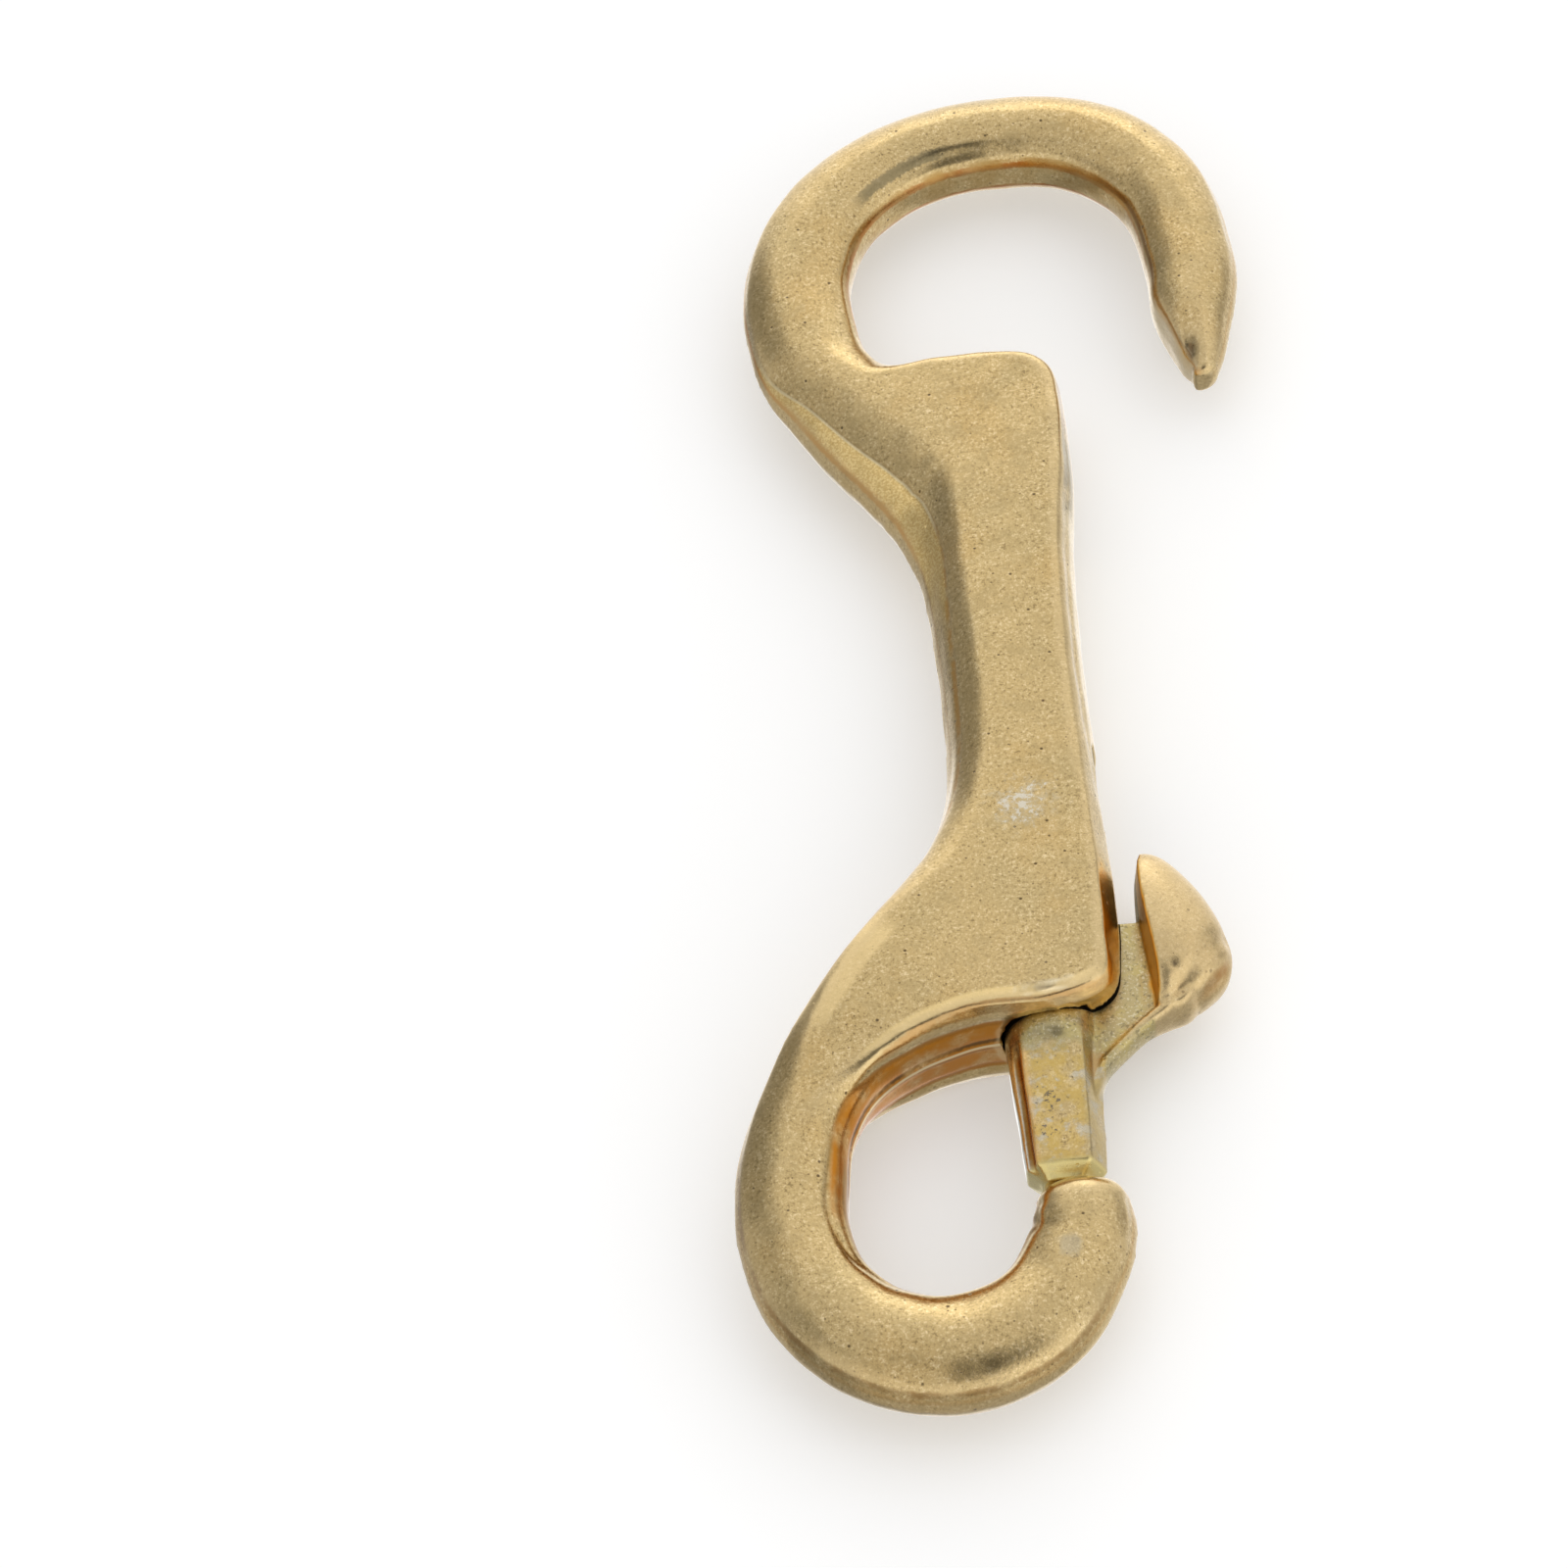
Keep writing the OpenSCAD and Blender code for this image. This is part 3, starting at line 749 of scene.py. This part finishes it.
thumb_y, thumb_x = np.array(THUMB_ROWS).T[:2]
thumb_side = np.interp(-y, -thumb_y, thumb_x)
inner_side = rise(x, thumb_side + 0.12, thumb_side) * rise(x, 4.8, 5.1) * rise(y, -16.4, -15.4)
lip_line = middle_rows[SLOT_LIP, 2:4]
lip_x = np.interp(y, lip_line[::-1, 1], lip_line[::-1, 0], left=-9)
past_slot_lip = nearest_on(bolt_points, lip_line)[0] * np.where(x > lip_x, 1, -1) + SLOT_LIP_IN
past_mouth_lip = np.interp(x, *MOUTH_LIP.T) - y
give(bolt.data,
     grime=np.maximum(on_web, near_mouth),
     band=outside * window(turn, 138, 149, 3) * rise(y, -26, -25.6),
     flank=outside * rise(turn, 58, 48) * rise(turn, -60, -50),
     tip=rise(y, cone_y + 0.25, cone_y - 0.1) * rise(x, 4, 3),
     # rim marks the plunger's left facet, which the finish paints as a highlight
     rim=outside * rise(np.abs(turn), 149, 152),
     corner=outside * ridge(turn - 133, 5) * rise(y, -26, -25.4),
     shaft=rise(x, 3.6, 2.8),
     inner_side=inner_side * beside_web,
     # how far past the barrel's lip a point lies, where the finish paints a shadow
     past_lip=np.where(x < BORE_R, past_mouth_lip, past_slot_lip),
     thumb=rise(x, 6.2, 6.6),
     scoop=lower_thumb * rise(fold, -1.25, -1.6),
     spots=thumb_nick,
     hollow=hollowness(bolt.data, 8))
print("cast bolt:", len(bolt.data.vertices), "points,", len(bolt.data.polygons), "faces")
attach(bolt, "bolt")
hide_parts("bolt")

# %% [markdown]
# ## The spring
# A coil spring pushes the bolt shut, hidden in the bore but for what the slot shows. It is a tube of
# wire along a helix, from the bolt's back to the bore's end.

# %% Spring
WIRE_R = 0.35
COIL_R = 2
COIL_TURNS = 9
COIL_GAP = 0.05


def coil_rings(turn_n=32, wire_n=12):
    """Rings of wire along a helix: a ring lies at (cos a, 0, sin a) * (coil radius + wire radius *
    cos b) and rises with a from the bolt's back to the bore's end."""
    a = np.arange(COIL_TURNS * turn_n + 1) / turn_n * 2 * np.pi
    low, high = BOLT_BACK_Y + WIRE_R + COIL_GAP, BORE_END_Y - WIRE_R - COIL_GAP
    y = low + (high - low) * a / a[-1]
    b = steps_round(wire_n)
    return turned(COIL_R + WIRE_R * np.cos(b), y[:, None] + WIRE_R * np.sin(b), a[:, None])


spring = skin("coil_spring", coil_rings())
shade_smooth(spring)
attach(spring, "clasp")
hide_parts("spring")
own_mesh(spring)

# %% [markdown]
# ## Shader expressions
# Node sums are easier to read as sums. One small class wraps a socket and turns +, -, * and abs into
# Math nodes. Another holds a node tree and makes any node from its type, settings and sockets.

# %% Shader expressions
def sum_node(operation, swapped=False):
    """A method that makes a Math node from two values, in their order or swapped."""
    def method(self, other=0):
        pair = (other, self) if swapped else (self, other)
        return self.tree.node("Math", dict(enumerate(pair)), operation=operation)

    return method


class Value:
    """A socket in a sum, with a number or another value."""
    __add__, __sub__, __mul__ = (sum_node(name) for name in ("ADD", "SUBTRACT", "MULTIPLY"))
    __rsub__ = sum_node("SUBTRACT", swapped=True)
    __abs__ = sum_node("ABSOLUTE")

    def __init__(self, tree, socket):
        self.tree, self.socket = tree, socket


class Finish:
    """The node tree of a material or of the world, with one method that makes any node."""

    def __init__(self, owner):
        owner.use_nodes = True
        self.tree = owner.node_tree
        self.tree.nodes.clear()

    def node(self, kind, sockets={}, out=0, **settings):
        made = self.tree.nodes.new("ShaderNode" + kind)
        for setting, value in settings.items():
            setattr(made, setting, value)
        for key, value in sockets.items():
            if isinstance(value, Value):
                self.tree.links.new(value.socket, made.inputs[key])
            else:
                made.inputs[key].default_value = value
        return Value(self, made.outputs[out]) if made.outputs else None

    def step(self, value, low, high):
        """0 below low, 1 above high and a smooth rise between. With low above high it falls."""
        return self.node("MapRange", {"Value": value, "From Min": low, "From Max": high},
                         interpolation_type="SMOOTHSTEP")

    def between(self, value, low, high, edge):
        """1 from low to high, falling to 0 over edge outside."""
        return self.step(value, low - edge, low) * self.step(value, high + edge, high)

    def line(self, value, half, edge):
        """1 where the value is within half of 0, falling to 0 over edge on both sides."""
        return self.step(abs(value), half + edge, half)

    def mix(self, share, first, second):
        """Colours, made earlier or given as (red, green, blue), mixed by a share from 0 to 1."""
        first, second = (c if isinstance(c, Value) else (*c, 1) for c in (first, second))
        return self.node("Mix", {0: share, 6: first, 7: second}, 2, data_type="RGBA")

    def noise(self, place, size_mm, detail, rough=0.5):
        return self.node("TexNoise", {"Vector": place, "Scale": 1 / (size_mm * MM),
                                      "Detail": detail, "Roughness": rough})


# %% [markdown]
# ## Light and floor
# Cast brass shows its shape by what it mirrors. A pale floor and a bright sky give it its light straw
# colour. Dark and bright soft patches round the sky take the place of a studio's flags and
# reflectors: a dark flag low on the left draws the olive bands inside the left edges, the camera
# itself is a dark spot, and a reflector behind brightens the slopes that face away.

# %% World, light and floor
SKY = 0.91
# columns: azimuth of the middle from +Y towards +X, half width, soft edge, lowest and highest
# elevation, soft edge (all in degrees), brightness added
PANELS = [
    (4, 14, 30, -60, 24, 26, 0.31), (-72, 26, 20, -90, 34, 24, -0.34), (-47, 7, 13, -25, 22, 24, -0.23),
    (-75, 28, 22, 44, 64, 12, -0.14), (61, 4, 13, -14, 8, 16, -0.3), (80, 12, 20, -30, 20, 24, -0.1),
    (130, 14, 20, -15, 28, 20, 0.2), (-115, 14, 14, -90, 40, 20, -0.14), (152, 20, 10, 49, 68, 7, -0.56),
    (180, 60, 30, -90, -18, 16, -0.42), (190, 44, 24, 46, 76, 14, -0.17), (0, 180, 1, 74, 90, 18, -0.13)]
SOFTBOX_AT = Vector((0.12, 1.3, 0.45))
FLOOR_HALF = 2000
WHITE = (1, 1, 1, 1)

world = bpy.data.worlds.new("studio")
bpy.context.scene.world = world
room = Finish(world)
aim = room.node("TexCoord")
east, north, up = (room.node("SeparateXYZ", {0: aim}, k) for k in range(3))
elevation = room.node("Math", {0: up}, operation="ARCSINE") * (180 / math.pi)
bearing = room.node("Math", {0: east, 1: north}, operation="ARCTAN2") * (180 / math.pi)
light = SKY
for azimuth, half, edge, low, high, fade, added in PANELS:
    off = room.node("Math", {0: bearing - azimuth, 1: 180, 2: -180}, operation="WRAP")
    light = room.line(off, half, edge) * room.between(elevation, low, high, fade) * added + light
seen = room.node("LightPath")
backdrop = room.node("Background", {"Color": WHITE, "Strength": seen + (1 - seen) * light})
room.node("OutputWorld", {"Surface": backdrop})

softbox = bpy.data.lights.new("back_softbox", "AREA")
softbox.size = 0.6
softbox.energy = 0.5
lamp = bpy.data.objects.new("back_softbox", softbox)
lamp.location = SOFTBOX_AT
lamp.rotation_euler = (-SOFTBOX_AT).to_track_quat("-Z", "Y").to_euler()
bpy.context.scene.collection.objects.link(lamp)

floor_grid = np.array([[[-1, -1, 0], [1, -1, 0]], [[-1, 1, 0], [1, 1, 0]]], float) * FLOOR_HALF
floor_mesh = bpy.data.meshes.new("pale_floor")
floor_mesh.from_pydata((floor_grid.reshape(-1, 3) * MM).tolist(), [], [(0, 1, 3, 2)])
floor = bpy.data.objects.new("pale_floor", floor_mesh)
bpy.context.scene.collection.objects.link(floor)
floor.visible_glossy = False
paper = bpy.data.materials.new("pale_paper")
sheet = Finish(paper)
matt = sheet.node("BsdfPrincipled", {
    "Base Color": (0.93, 0.93, 0.93, 1), "Roughness": 0.8, "Specular IOR Level": 0.2,
    "Emission Color": WHITE, "Emission Strength": 0.3})
sheet.node("OutputMaterial", {"Surface": matt})
floor.data.materials.append(paper)
bpy.context.scene.view_settings.view_transform = "Standard"
print("sky of", len(PANELS), "panels, one softbox and a floor of", 2 * FLOOR_HALF, "mm")

# %% [markdown]
# ## Tumbled brass
# Bright brass mirrors in straw yellow. Casting and tumbling leave it slightly rough, with a fine
# speckle and small brown pits. Tarnish in the hollows is orange-brown, grime a greenish grey, and
# edges that rub are brighter, helped by a painted highlight on proud edges. Some layers paint light
# and shade as colour. So the finish is built up as a patina is, layer over layer.

# %% Brass
STRAW = (0.66, 0.485, 0.225)
OLIVE = (0.56, 0.43, 0.21)
WARM = (0.66, 0.45, 0.18)
ORANGE = (0.5, 0.25, 0.05)
GRIME = (0.54, 0.45, 0.23)
CHALK = (0.8, 0.76, 0.66)
GRAIN_MM = 0.22


class Brass(Finish):
    """A brass finish that is built up in layers: each layer mixes its colour over the last."""

    def __init__(self, name):
        self.material = bpy.data.materials.new(name)
        super().__init__(self.material)
        self.place = self.node("TexCoord", out=3)
        self.colour = STRAW
        self.rough = 0.12
        self.height = 0

    def noise(self, size_mm, detail, rough):
        return super().noise(self.place, size_mm, detail, rough)

    def mark(self, name):
        """One of the values that the mesh holds for each point."""
        return self.node("Attribute", out=2, attribute_name=name)

    def off(self, spot, ragged):
        """Distance in mm from a spot, given in mm on the barrel's axes, with a ragged value added."""
        spot = ((np.array(spot) + REST) * MM).tolist()
        gap = self.node("VectorMath", {0: self.place, 1: spot}, 1, operation="DISTANCE")
        return gap * (1 / MM) + ragged

    def pits(self, size_mm, radius, share):
        """Round pits: 1 within a radius of the points of a Voronoi pattern, for a share of them."""
        reach = self.node("TexVoronoi", {"Vector": self.place, "Scale": 1 / (size_mm * MM)}, feature="F1")
        chance = self.node("SeparateColor", {0: Value(self, reach.socket.node.outputs["Color"])})
        return self.step(reach, radius, radius * 0.5) * self.step(chance, share + 0.05, share - 0.05)

    def layer(self, mask, colour, rough=0, height=0):
        """Mixes a colour over what is there, and adds to roughness and height, where the mask is 1."""
        self.colour = self.mix(mask, self.colour, colour)
        if rough:
            self.rough = mask * rough + self.rough
        if height:
            self.height = mask * height + self.height

    def tumbled(self):
        """The skin that tumbling leaves: clouds of olive and warm straw, a fine speckle and pits."""
        self.layer(self.step(self.noise(7, 3, 0.6), 0.42, 0.66) * 0.55, OLIVE)
        self.layer(self.step(self.noise(5.2, 3, 0.6), 0.5, 0.7) * 0.5, WARM)
        grain = self.noise(GRAIN_MM, 4, 0.85)
        patch = self.noise(1.5, 3, 0.7)
        strength = (self.step(patch, 0.36, 0.6) * 0.5 + 0.5) * 0.75
        self.layer(self.step(patch, 0.46, 0.38) * 0.3, (0.48, 0.36, 0.17))
        self.layer(self.step(grain, 0.46, 0.38) * strength, (0.25, 0.17, 0.07))
        self.layer(self.step(grain, 0.54, 0.62) * strength, (1, 0.8, 0.48))
        self.layer(self.pits(0.42, 0.17, 0.3) * 0.75, (0.16, 0.1, 0.04), 0.1, -0.5)
        self.layer(self.pits(0.9, 0.13, 0.35) * 0.85, (0.1, 0.06, 0.025), 0.1, -1)
        self.height = (grain - 0.5) * 0.5 + (patch - 0.5) + self.height
        self.rough = patch * 0.1 + self.rough

    def metal(self):
        """Joins the layers to the metal and gives the material."""
        bump = self.node("Bump", {"Strength": 0.6, "Distance": 0.03 * MM, "Height": self.height})
        metal = self.node("BsdfPrincipled", {
            "Base Color": self.colour, "Metallic": 1, "Roughness": self.rough, "Normal": bump})
        self.node("OutputMaterial", {"Surface": metal})
        print(self.material.name, "has", len(self.tree.nodes), "nodes")
        return self.material


# %% [markdown]
# ## Tarnish and painted light along the casting
# Tumbling can't reach the foot of a step, so tarnish stays as thin orange-brown lines along the land
# and the creases and as a film on the inner walls. Some layers here are painted light instead: a dark
# reflection on the open hook's arc, a pale painted reflection on some inner walls, painted shade on the
# upper shoulder's inner wall and a painted highlight inside the lower shoulder's outer edge. The
# distances that we stored say where. Each layer takes a stretch of the casting, in rows of the section
# tables, a line or band beside an edge, and a share. Then come its colour and the roughness that it adds.

# %% Tarnish and painted light on land, creases and inner walls
finish = Brass("tumbled_brass")
finish.tumbled()
layer, step, line, between = finish.layer, finish.step, finish.line, finish.between
hollow, above_land, past_outer, past_inner, from_inner, from_outer, where = (
    finish.mark(name) for name in ("hollow", "above_land", "past_outer_crease", "past_inner_crease",
                                   "from_inner_edge", "from_outer_edge", "place"))
level = finish.node("SeparateXYZ", {0: finish.place}, 2) * (1 / MM) - BARREL_HALF
off_middle = abs(level)
smear = finish.noise(1.6, 3, 0.6)
streak = step(smear, 0.25, 0.6)
patchy = step(smear, 0.3, 0.6)
wander = smear - 0.5
ragged = (finish.noise(0.35, 3, 0.7) - 0.5) * 0.25


def along(low, high, edge):
    """1 on a stretch of the casting, from low to high in rows of the tables, falling over edge."""
    return between(where, low, high, edge)


on_terrace = along(11.5, 20.5, 1)
off_shank = 1 - along(13, 30, 1)
inner_wall = step(from_inner, 0.45, 0.15)
near_inner = step(from_inner, 0.9, 0.5)
layer(step(hollow + wander * 0.03, 0.012, 0.05) * (0.75 - on_terrace * 0.6), ORANGE, 0.05)
land_line = line(above_land + ragged, 0.05, 0.18) * (streak * 0.4 + 0.6)
outer_land = step(from_outer, 0.9, 0.5) * (along(10.5, 20.5, 1) * 0.75 + 0.25)
layer(land_line * outer_land, (0.6, 0.29, 0.055), 0.03)
layer(land_line * near_inner * off_shank, (0.56, 0.25, 0.045), 0.03)
shank_line = line(past_outer + ragged, 0.05, 0.14) * patchy
layer(shank_line * along(21.5, 27, 1.5) * 0.8, (0.6, 0.32, 0.07), 0.03)
layer(shank_line * on_terrace * 0.45, (0.3, 0.23, 0.11))
arc_line = along(6, 10, 1) * line(above_land + ragged * 1.6 - 0.05, 0.12, 0.16)
layer(arc_line * near_inner * 0.95, (0.42, 0.15, 0.02))
# painted dark reflection: a dark olive lens along the open hook's arc, beside its worn ridge
layer(along(7.7, 8.7, 0.35) * line(from_inner + ragged * 2 - 1.15, 0.2, 0.2) * 0.8, (0.22, 0.18, 0.1))
layer(line(past_inner, 0.04, 0.12) * off_shank * patchy * 0.6, (0.44, 0.26, 0.07), 0.03)
layer(inner_wall * off_shank * step(smear, 0.35, 0.62) * 0.5, (0.5, 0.31, 0.1), 0.05)
# painted reflection: the inner walls of the beak and the shank are painted pale, as if they mirrored a
# bright sky
pale_reflection_side = along(-1, 3.5, 1) + along(23.4, 25.5, 1.8)
layer(pale_reflection_side * inner_wall * 0.4, (0.96, 0.82, 0.56), -0.03)
# painted shade: a dark olive patch on the upper shoulder's inner wall, near the shank
painted_shade_side = between(where + wander * 2, 21.7, 22.2, 0.8) * between(off_middle, 1.3, 2.4, 0.6)
layer(painted_shade_side * step(from_inner, 0.9, 0.6) * 0.7, (0.24, 0.19, 0.09), 0.05)
layer(along(18.5, 21, 0.5) * line(past_inner, 0.04, 0.1) * 0.7, (0.34, 0.18, 0.05))
layer(along(0.6, 5, 0.8) * line(past_inner, 0.03, 0.08) * 0.85, (0.3, 0.15, 0.04))
# painted highlight: a light strip inside the lower shoulder's outer edge, by the eye
layer(along(31.2, 33.2, 0.7) * between(from_outer, 0.5, 2.1, 0.4) * 0.6, (1, 0.76, 0.38))

# %% [markdown]
# ## The eye's wall and the slot's side
# The wall of the snap hook's eye keeps a copper-orange skin, darkest along its parting line, with a
# bright scratch in it. The rolled lip above gets a painted highlight along its top. The barrel's side is
# orange too, up to a painted shadow line along the slot's edge.

# %% Eye, slot and lip
eye = along(30.9, 36.5, 0.8) * step(from_inner, 1, 0.7)
low_wall = step(off_middle + wander * 0.9, 2.15, 1.75)
layer(eye * low_wall * (streak * 0.6 + 0.4), (0.56, 0.22, 0.025))
layer(eye * line(off_middle - 1.95 + ragged, 0.08, 0.2) * 0.7, (0.42, 0.17, 0.025), 0.03)
layer(eye * line(level - 0.4 + ragged, 0.07, 0.16) * streak * 0.8, (0.12, 0.07, 0.03), 0.1)
layer(eye * line(level + 0.25, 0.04, 0.1) * streak * 0.5, (0.16, 0.1, 0.04), 0.1)
layer(eye * line(level - 0.02, 0.05, 0.08) * 0.8, (0.95, 0.78, 0.48), -0.04)
layer(along(36, 46, 0.8) * line(from_inner - 0.12, 0.06, 0.12) * 0.65, (0.24, 0.13, 0.04))
under_lip = along(32.2, 34.6, 0.4) * line(from_inner - 0.55 + ragged, 0.03, 0.12)
layer(under_lip * step(off_middle, 2.4, 2.9) * patchy * 0.8, (0.24, 0.14, 0.05), 0.1)
by_slot = step(from_inner, 1.5, 1.1)
slot_side = between(where + wander * 1.5, 28.4, 30.3, 1) * between(off_middle, 1.5, 3.45, 0.1)
layer(slot_side * by_slot * (streak * 0.5 + 0.4), (0.92, 0.54, 0.13))
# painted shadow: a nearly black line along the slot's edge, where the gap to the bolt's web lies
slot_gap_shadow = along(26.5, 30.6, 0.2) * line(off_middle - 1.44, 0.05, 0.06)
layer(slot_gap_shadow * by_slot * 0.95, (0.05, 0.04, 0.03), 0.2)
roll = along(30.4, 33.6, 0.6) * step(off_middle, 2.3, 2.7)
# painted highlight along the top of the rolled lip
layer(roll * line(from_inner - 0.85, 0.22, 0.25) * 0.7, (1, 0.76, 0.36), -0.03)
layer(roll * line(from_inner + ragged - 0.42, 0.05, 0.12) * (streak * 0.5 + 0.4), (0.55, 0.26, 0.05))

# %% [markdown]
# ## Wear and stains
# The rest is use: a nick with a bright burr, brown lines by the outer edge, the terrace's rough bright
# skin, proud edges made pale by rubbing and by a painted highlight, and a few blots and a chalky stain
# that are placed one by one.

# %% Wear and stains
layer(finish.mark("nick") * 0.9, (0.12, 0.095, 0.07), 0.1)
layer(finish.mark("nick_rim") * step(smear, 0.4, 0.55) * 0.8, (1, 0.88, 0.62))
left_edge = along(29, 32.6, 0.8) * line(from_outer - 0.6, 0.1, 0.12)
layer(left_edge * (patchy * 0.4 + 0.5), (0.34, 0.17, 0.045), 0.03)
low_edge = along(36.5, 41, 1) * line(from_outer - 0.35 + ragged, 0.04, 0.12)
layer(low_edge * patchy * 0.7, (0.36, 0.19, 0.055), 0.03)
terrace = along(11.5, 22.5, 1) * step(past_outer, 0.05, -0.08) * step(above_land, 0, 0.15)
layer(terrace * 0.55, (0.8, 0.55, 0.19), 0.1)
layer(terrace * step(finish.noise(0.15, 2, 0.7), 0.46, 0.6) * 0.6, (1, 0.78, 0.38))
layer(on_terrace * line(past_outer, 0.03, 0.07) * 0.5, (1, 0.86, 0.55))
# proud edges painted pale: rubbed wear and a painted highlight in one
layer(step(hollow, -0.02, -0.07) * 0.4, (0.8, 0.61, 0.33), -0.05)
# columns: the blot's place and radius, how uneven its outline is (all in mm), colour, share
BLOTS = [
    ((-0.11, -31.01, 2.5), 0.9, 2.2, (0.5, 0.45, 0.33), 0.5),
    ((-10.71, -37.81, 1.8), 0.6, 2.4, (0.33, 0.17, 0.05), 0.6),
    ((-15.73, -28.48, 1.5), 0.3, 1.2, (0.36, 0.2, 0.06), 0.6),
    ((1.19, 3.06, 3.5), 0.1, 0.5, (0.12, 0.06, 0.03), 0.9)]
for spot, radius, uneven_mm, colour, share in BLOTS:
    blot = step(finish.off(spot, wander * uneven_mm), radius, radius * 0.3)
    layer(blot * share, colour, 0.08)
chalk_off = finish.off((-0.34, -3.8, 3.5), (finish.noise(0.55, 4, 0.75) - 0.5) * 9)
layer(step(chalk_off, 1.9, 0.6) * 0.45, (0.62, 0.53, 0.36), 0.1)
layer(step(chalk_off, 0.5, 0.1) * 0.7, CHALK, 0.15)
body.data.materials.append(finish.metal())

# %% [markdown]
# ## The bolt's finish
# The bolt is yellower and dirtier than the casting. Its shaft is mottled grey and pale, with an
# orange groove and corner and a painted highlight on one facet. Grime sits on the web and at the barrel's
# mouth, and what lies inside the barrel gets a nearly black painted shadow. The thumb piece is pale, with
# an orange inner side and a brown scoop below its fold.

# %% The bolt's finish
finish = Brass("bolt_brass")
finish.tumbled()
layer, step, noise, mark = finish.layer, finish.step, finish.noise, finish.mark
smear = noise(1.1, 3, 0.6)
cloud = noise(1.3, 3, 0.65)
shaft = mark("shaft")
layer(step(smear, 0.36, 0.6) * (shaft * 0.65 + 0.1), (0.66, 0.46, 0.13))
layer(shaft * step(cloud, 0.5, 0.64) * 0.65, (0.5, 0.46, 0.36), 0.1)
layer(shaft * step(noise(0.6, 4, 0.7), 0.56, 0.68) * 0.6, (0.84, 0.66, 0.36), 0.05)
layer(shaft * step(noise(1.3, 4, 0.75), 0.53, 0.63) * 0.45, (0.78, 0.72, 0.58), 0.1)
layer(shaft * step(noise(0.35, 4, 0.75), 0.58, 0.7) * 0.6, (0.22, 0.18, 0.1), 0.1)
layer((1 - shaft) * 0.4, (0.82, 0.62, 0.35), 0.25)
tarnish = step(mark("hollow") + (smear - 0.5) * 0.02, 0.006, 0.03)
layer(tarnish * (0.8 - mark("thumb") * 0.7), ORANGE, 0.08)
layer(mark("inner_side") * 0.9, (0.95, 0.55, 0.1), 0.15)
layer(mark("scoop") * (step(smear, 0.35, 0.6) * 0.4 + 0.5), (0.48, 0.25, 0.075))
# painted highlight: the plunger's left facet is painted nearly white
layer(mark("rim"), (1, 0.97, 0.88), -0.04)
layer(mark("corner") * 0.8, (0.95, 0.56, 0.19))
layer(mark("flank") * 0.45, (0.46, 0.38, 0.22), 0.05)
layer(mark("band") * (step(smear, 0.3, 0.6) * 0.4 + 0.6), (0.42, 0.2, 0.045), 0.02)
layer(mark("tip") * 0.85, (0.84, 0.7, 0.3), 0.1)
grime = step(mark("grime") + (smear - 0.5) * 1.2, 0.3, 0.9)
layer(grime * (0.8 - shaft * 0.1), GRIME, 0.12)
layer(grime * shaft * 0.45, (0.3, 0.27, 0.17), 0.1)
layer(grime * step(cloud, 0.48, 0.62) * 0.7, (0.62, 0.5, 0.2), -0.05)
layer(grime * step(noise(0.16, 2, 0.7), 0.54, 0.66) * 0.6, (0.86, 0.78, 0.55))
layer(grime * step(noise(0.3, 3, 0.7), 0.55, 0.66) * 0.6, (0.18, 0.15, 0.09), 0.1)
# painted shadow: what lies past the barrel's lip, inside the bore and the slot, is painted nearly black
layer(step(mark("past_lip"), 0.07, 0.02), (0.02, 0.016, 0.01), 0.3)
in_nick = step(mark("spots") + (noise(0.3, 3, 0.7) - 0.5) * 0.8, 0.25, 0.75)
layer(in_nick * 0.9, (0.1, 0.07, 0.045), 0.1)
for spot, radius in (((-0.6, -21.7, 2.3), 0.42), ((-0.75, -23.5, 2.2), 0.2)):
    blot = step(finish.off(spot, (noise(0.3, 3, 0.75) - 0.5) * 5), radius, radius * 0.3)
    layer(blot * 0.8, (0.13, 0.12, 0.12), 0.15)
bolt.data.materials.append(finish.metal())

# %% [markdown]
# ## The spring's wire
# The spring is dull drawn steel. Some noise in colour and roughness is enough for what the slot shows.

# %% The spring's wire
wire = bpy.data.materials.new("spring_wire")
coat = Finish(wire)
drawn = coat.noise(coat.node("TexCoord", out=3), 0.3, 2)
steel = coat.node("BsdfPrincipled", {
    "Base Color": coat.mix(drawn, (0.4, 0.38, 0.35), (0.22, 0.2, 0.17)), "Metallic": 1,
    "Roughness": drawn * 0.2 + 0.25})
coat.node("OutputMaterial", {"Surface": steel})
spring.data.materials.append(wire)
for piece in (body, bolt):
    shade_smooth(piece)
print("materials:", [piece.data.materials[0].name for piece in (body, bolt, spring)])

# %% Finish
bpy.context.view_layer.update()
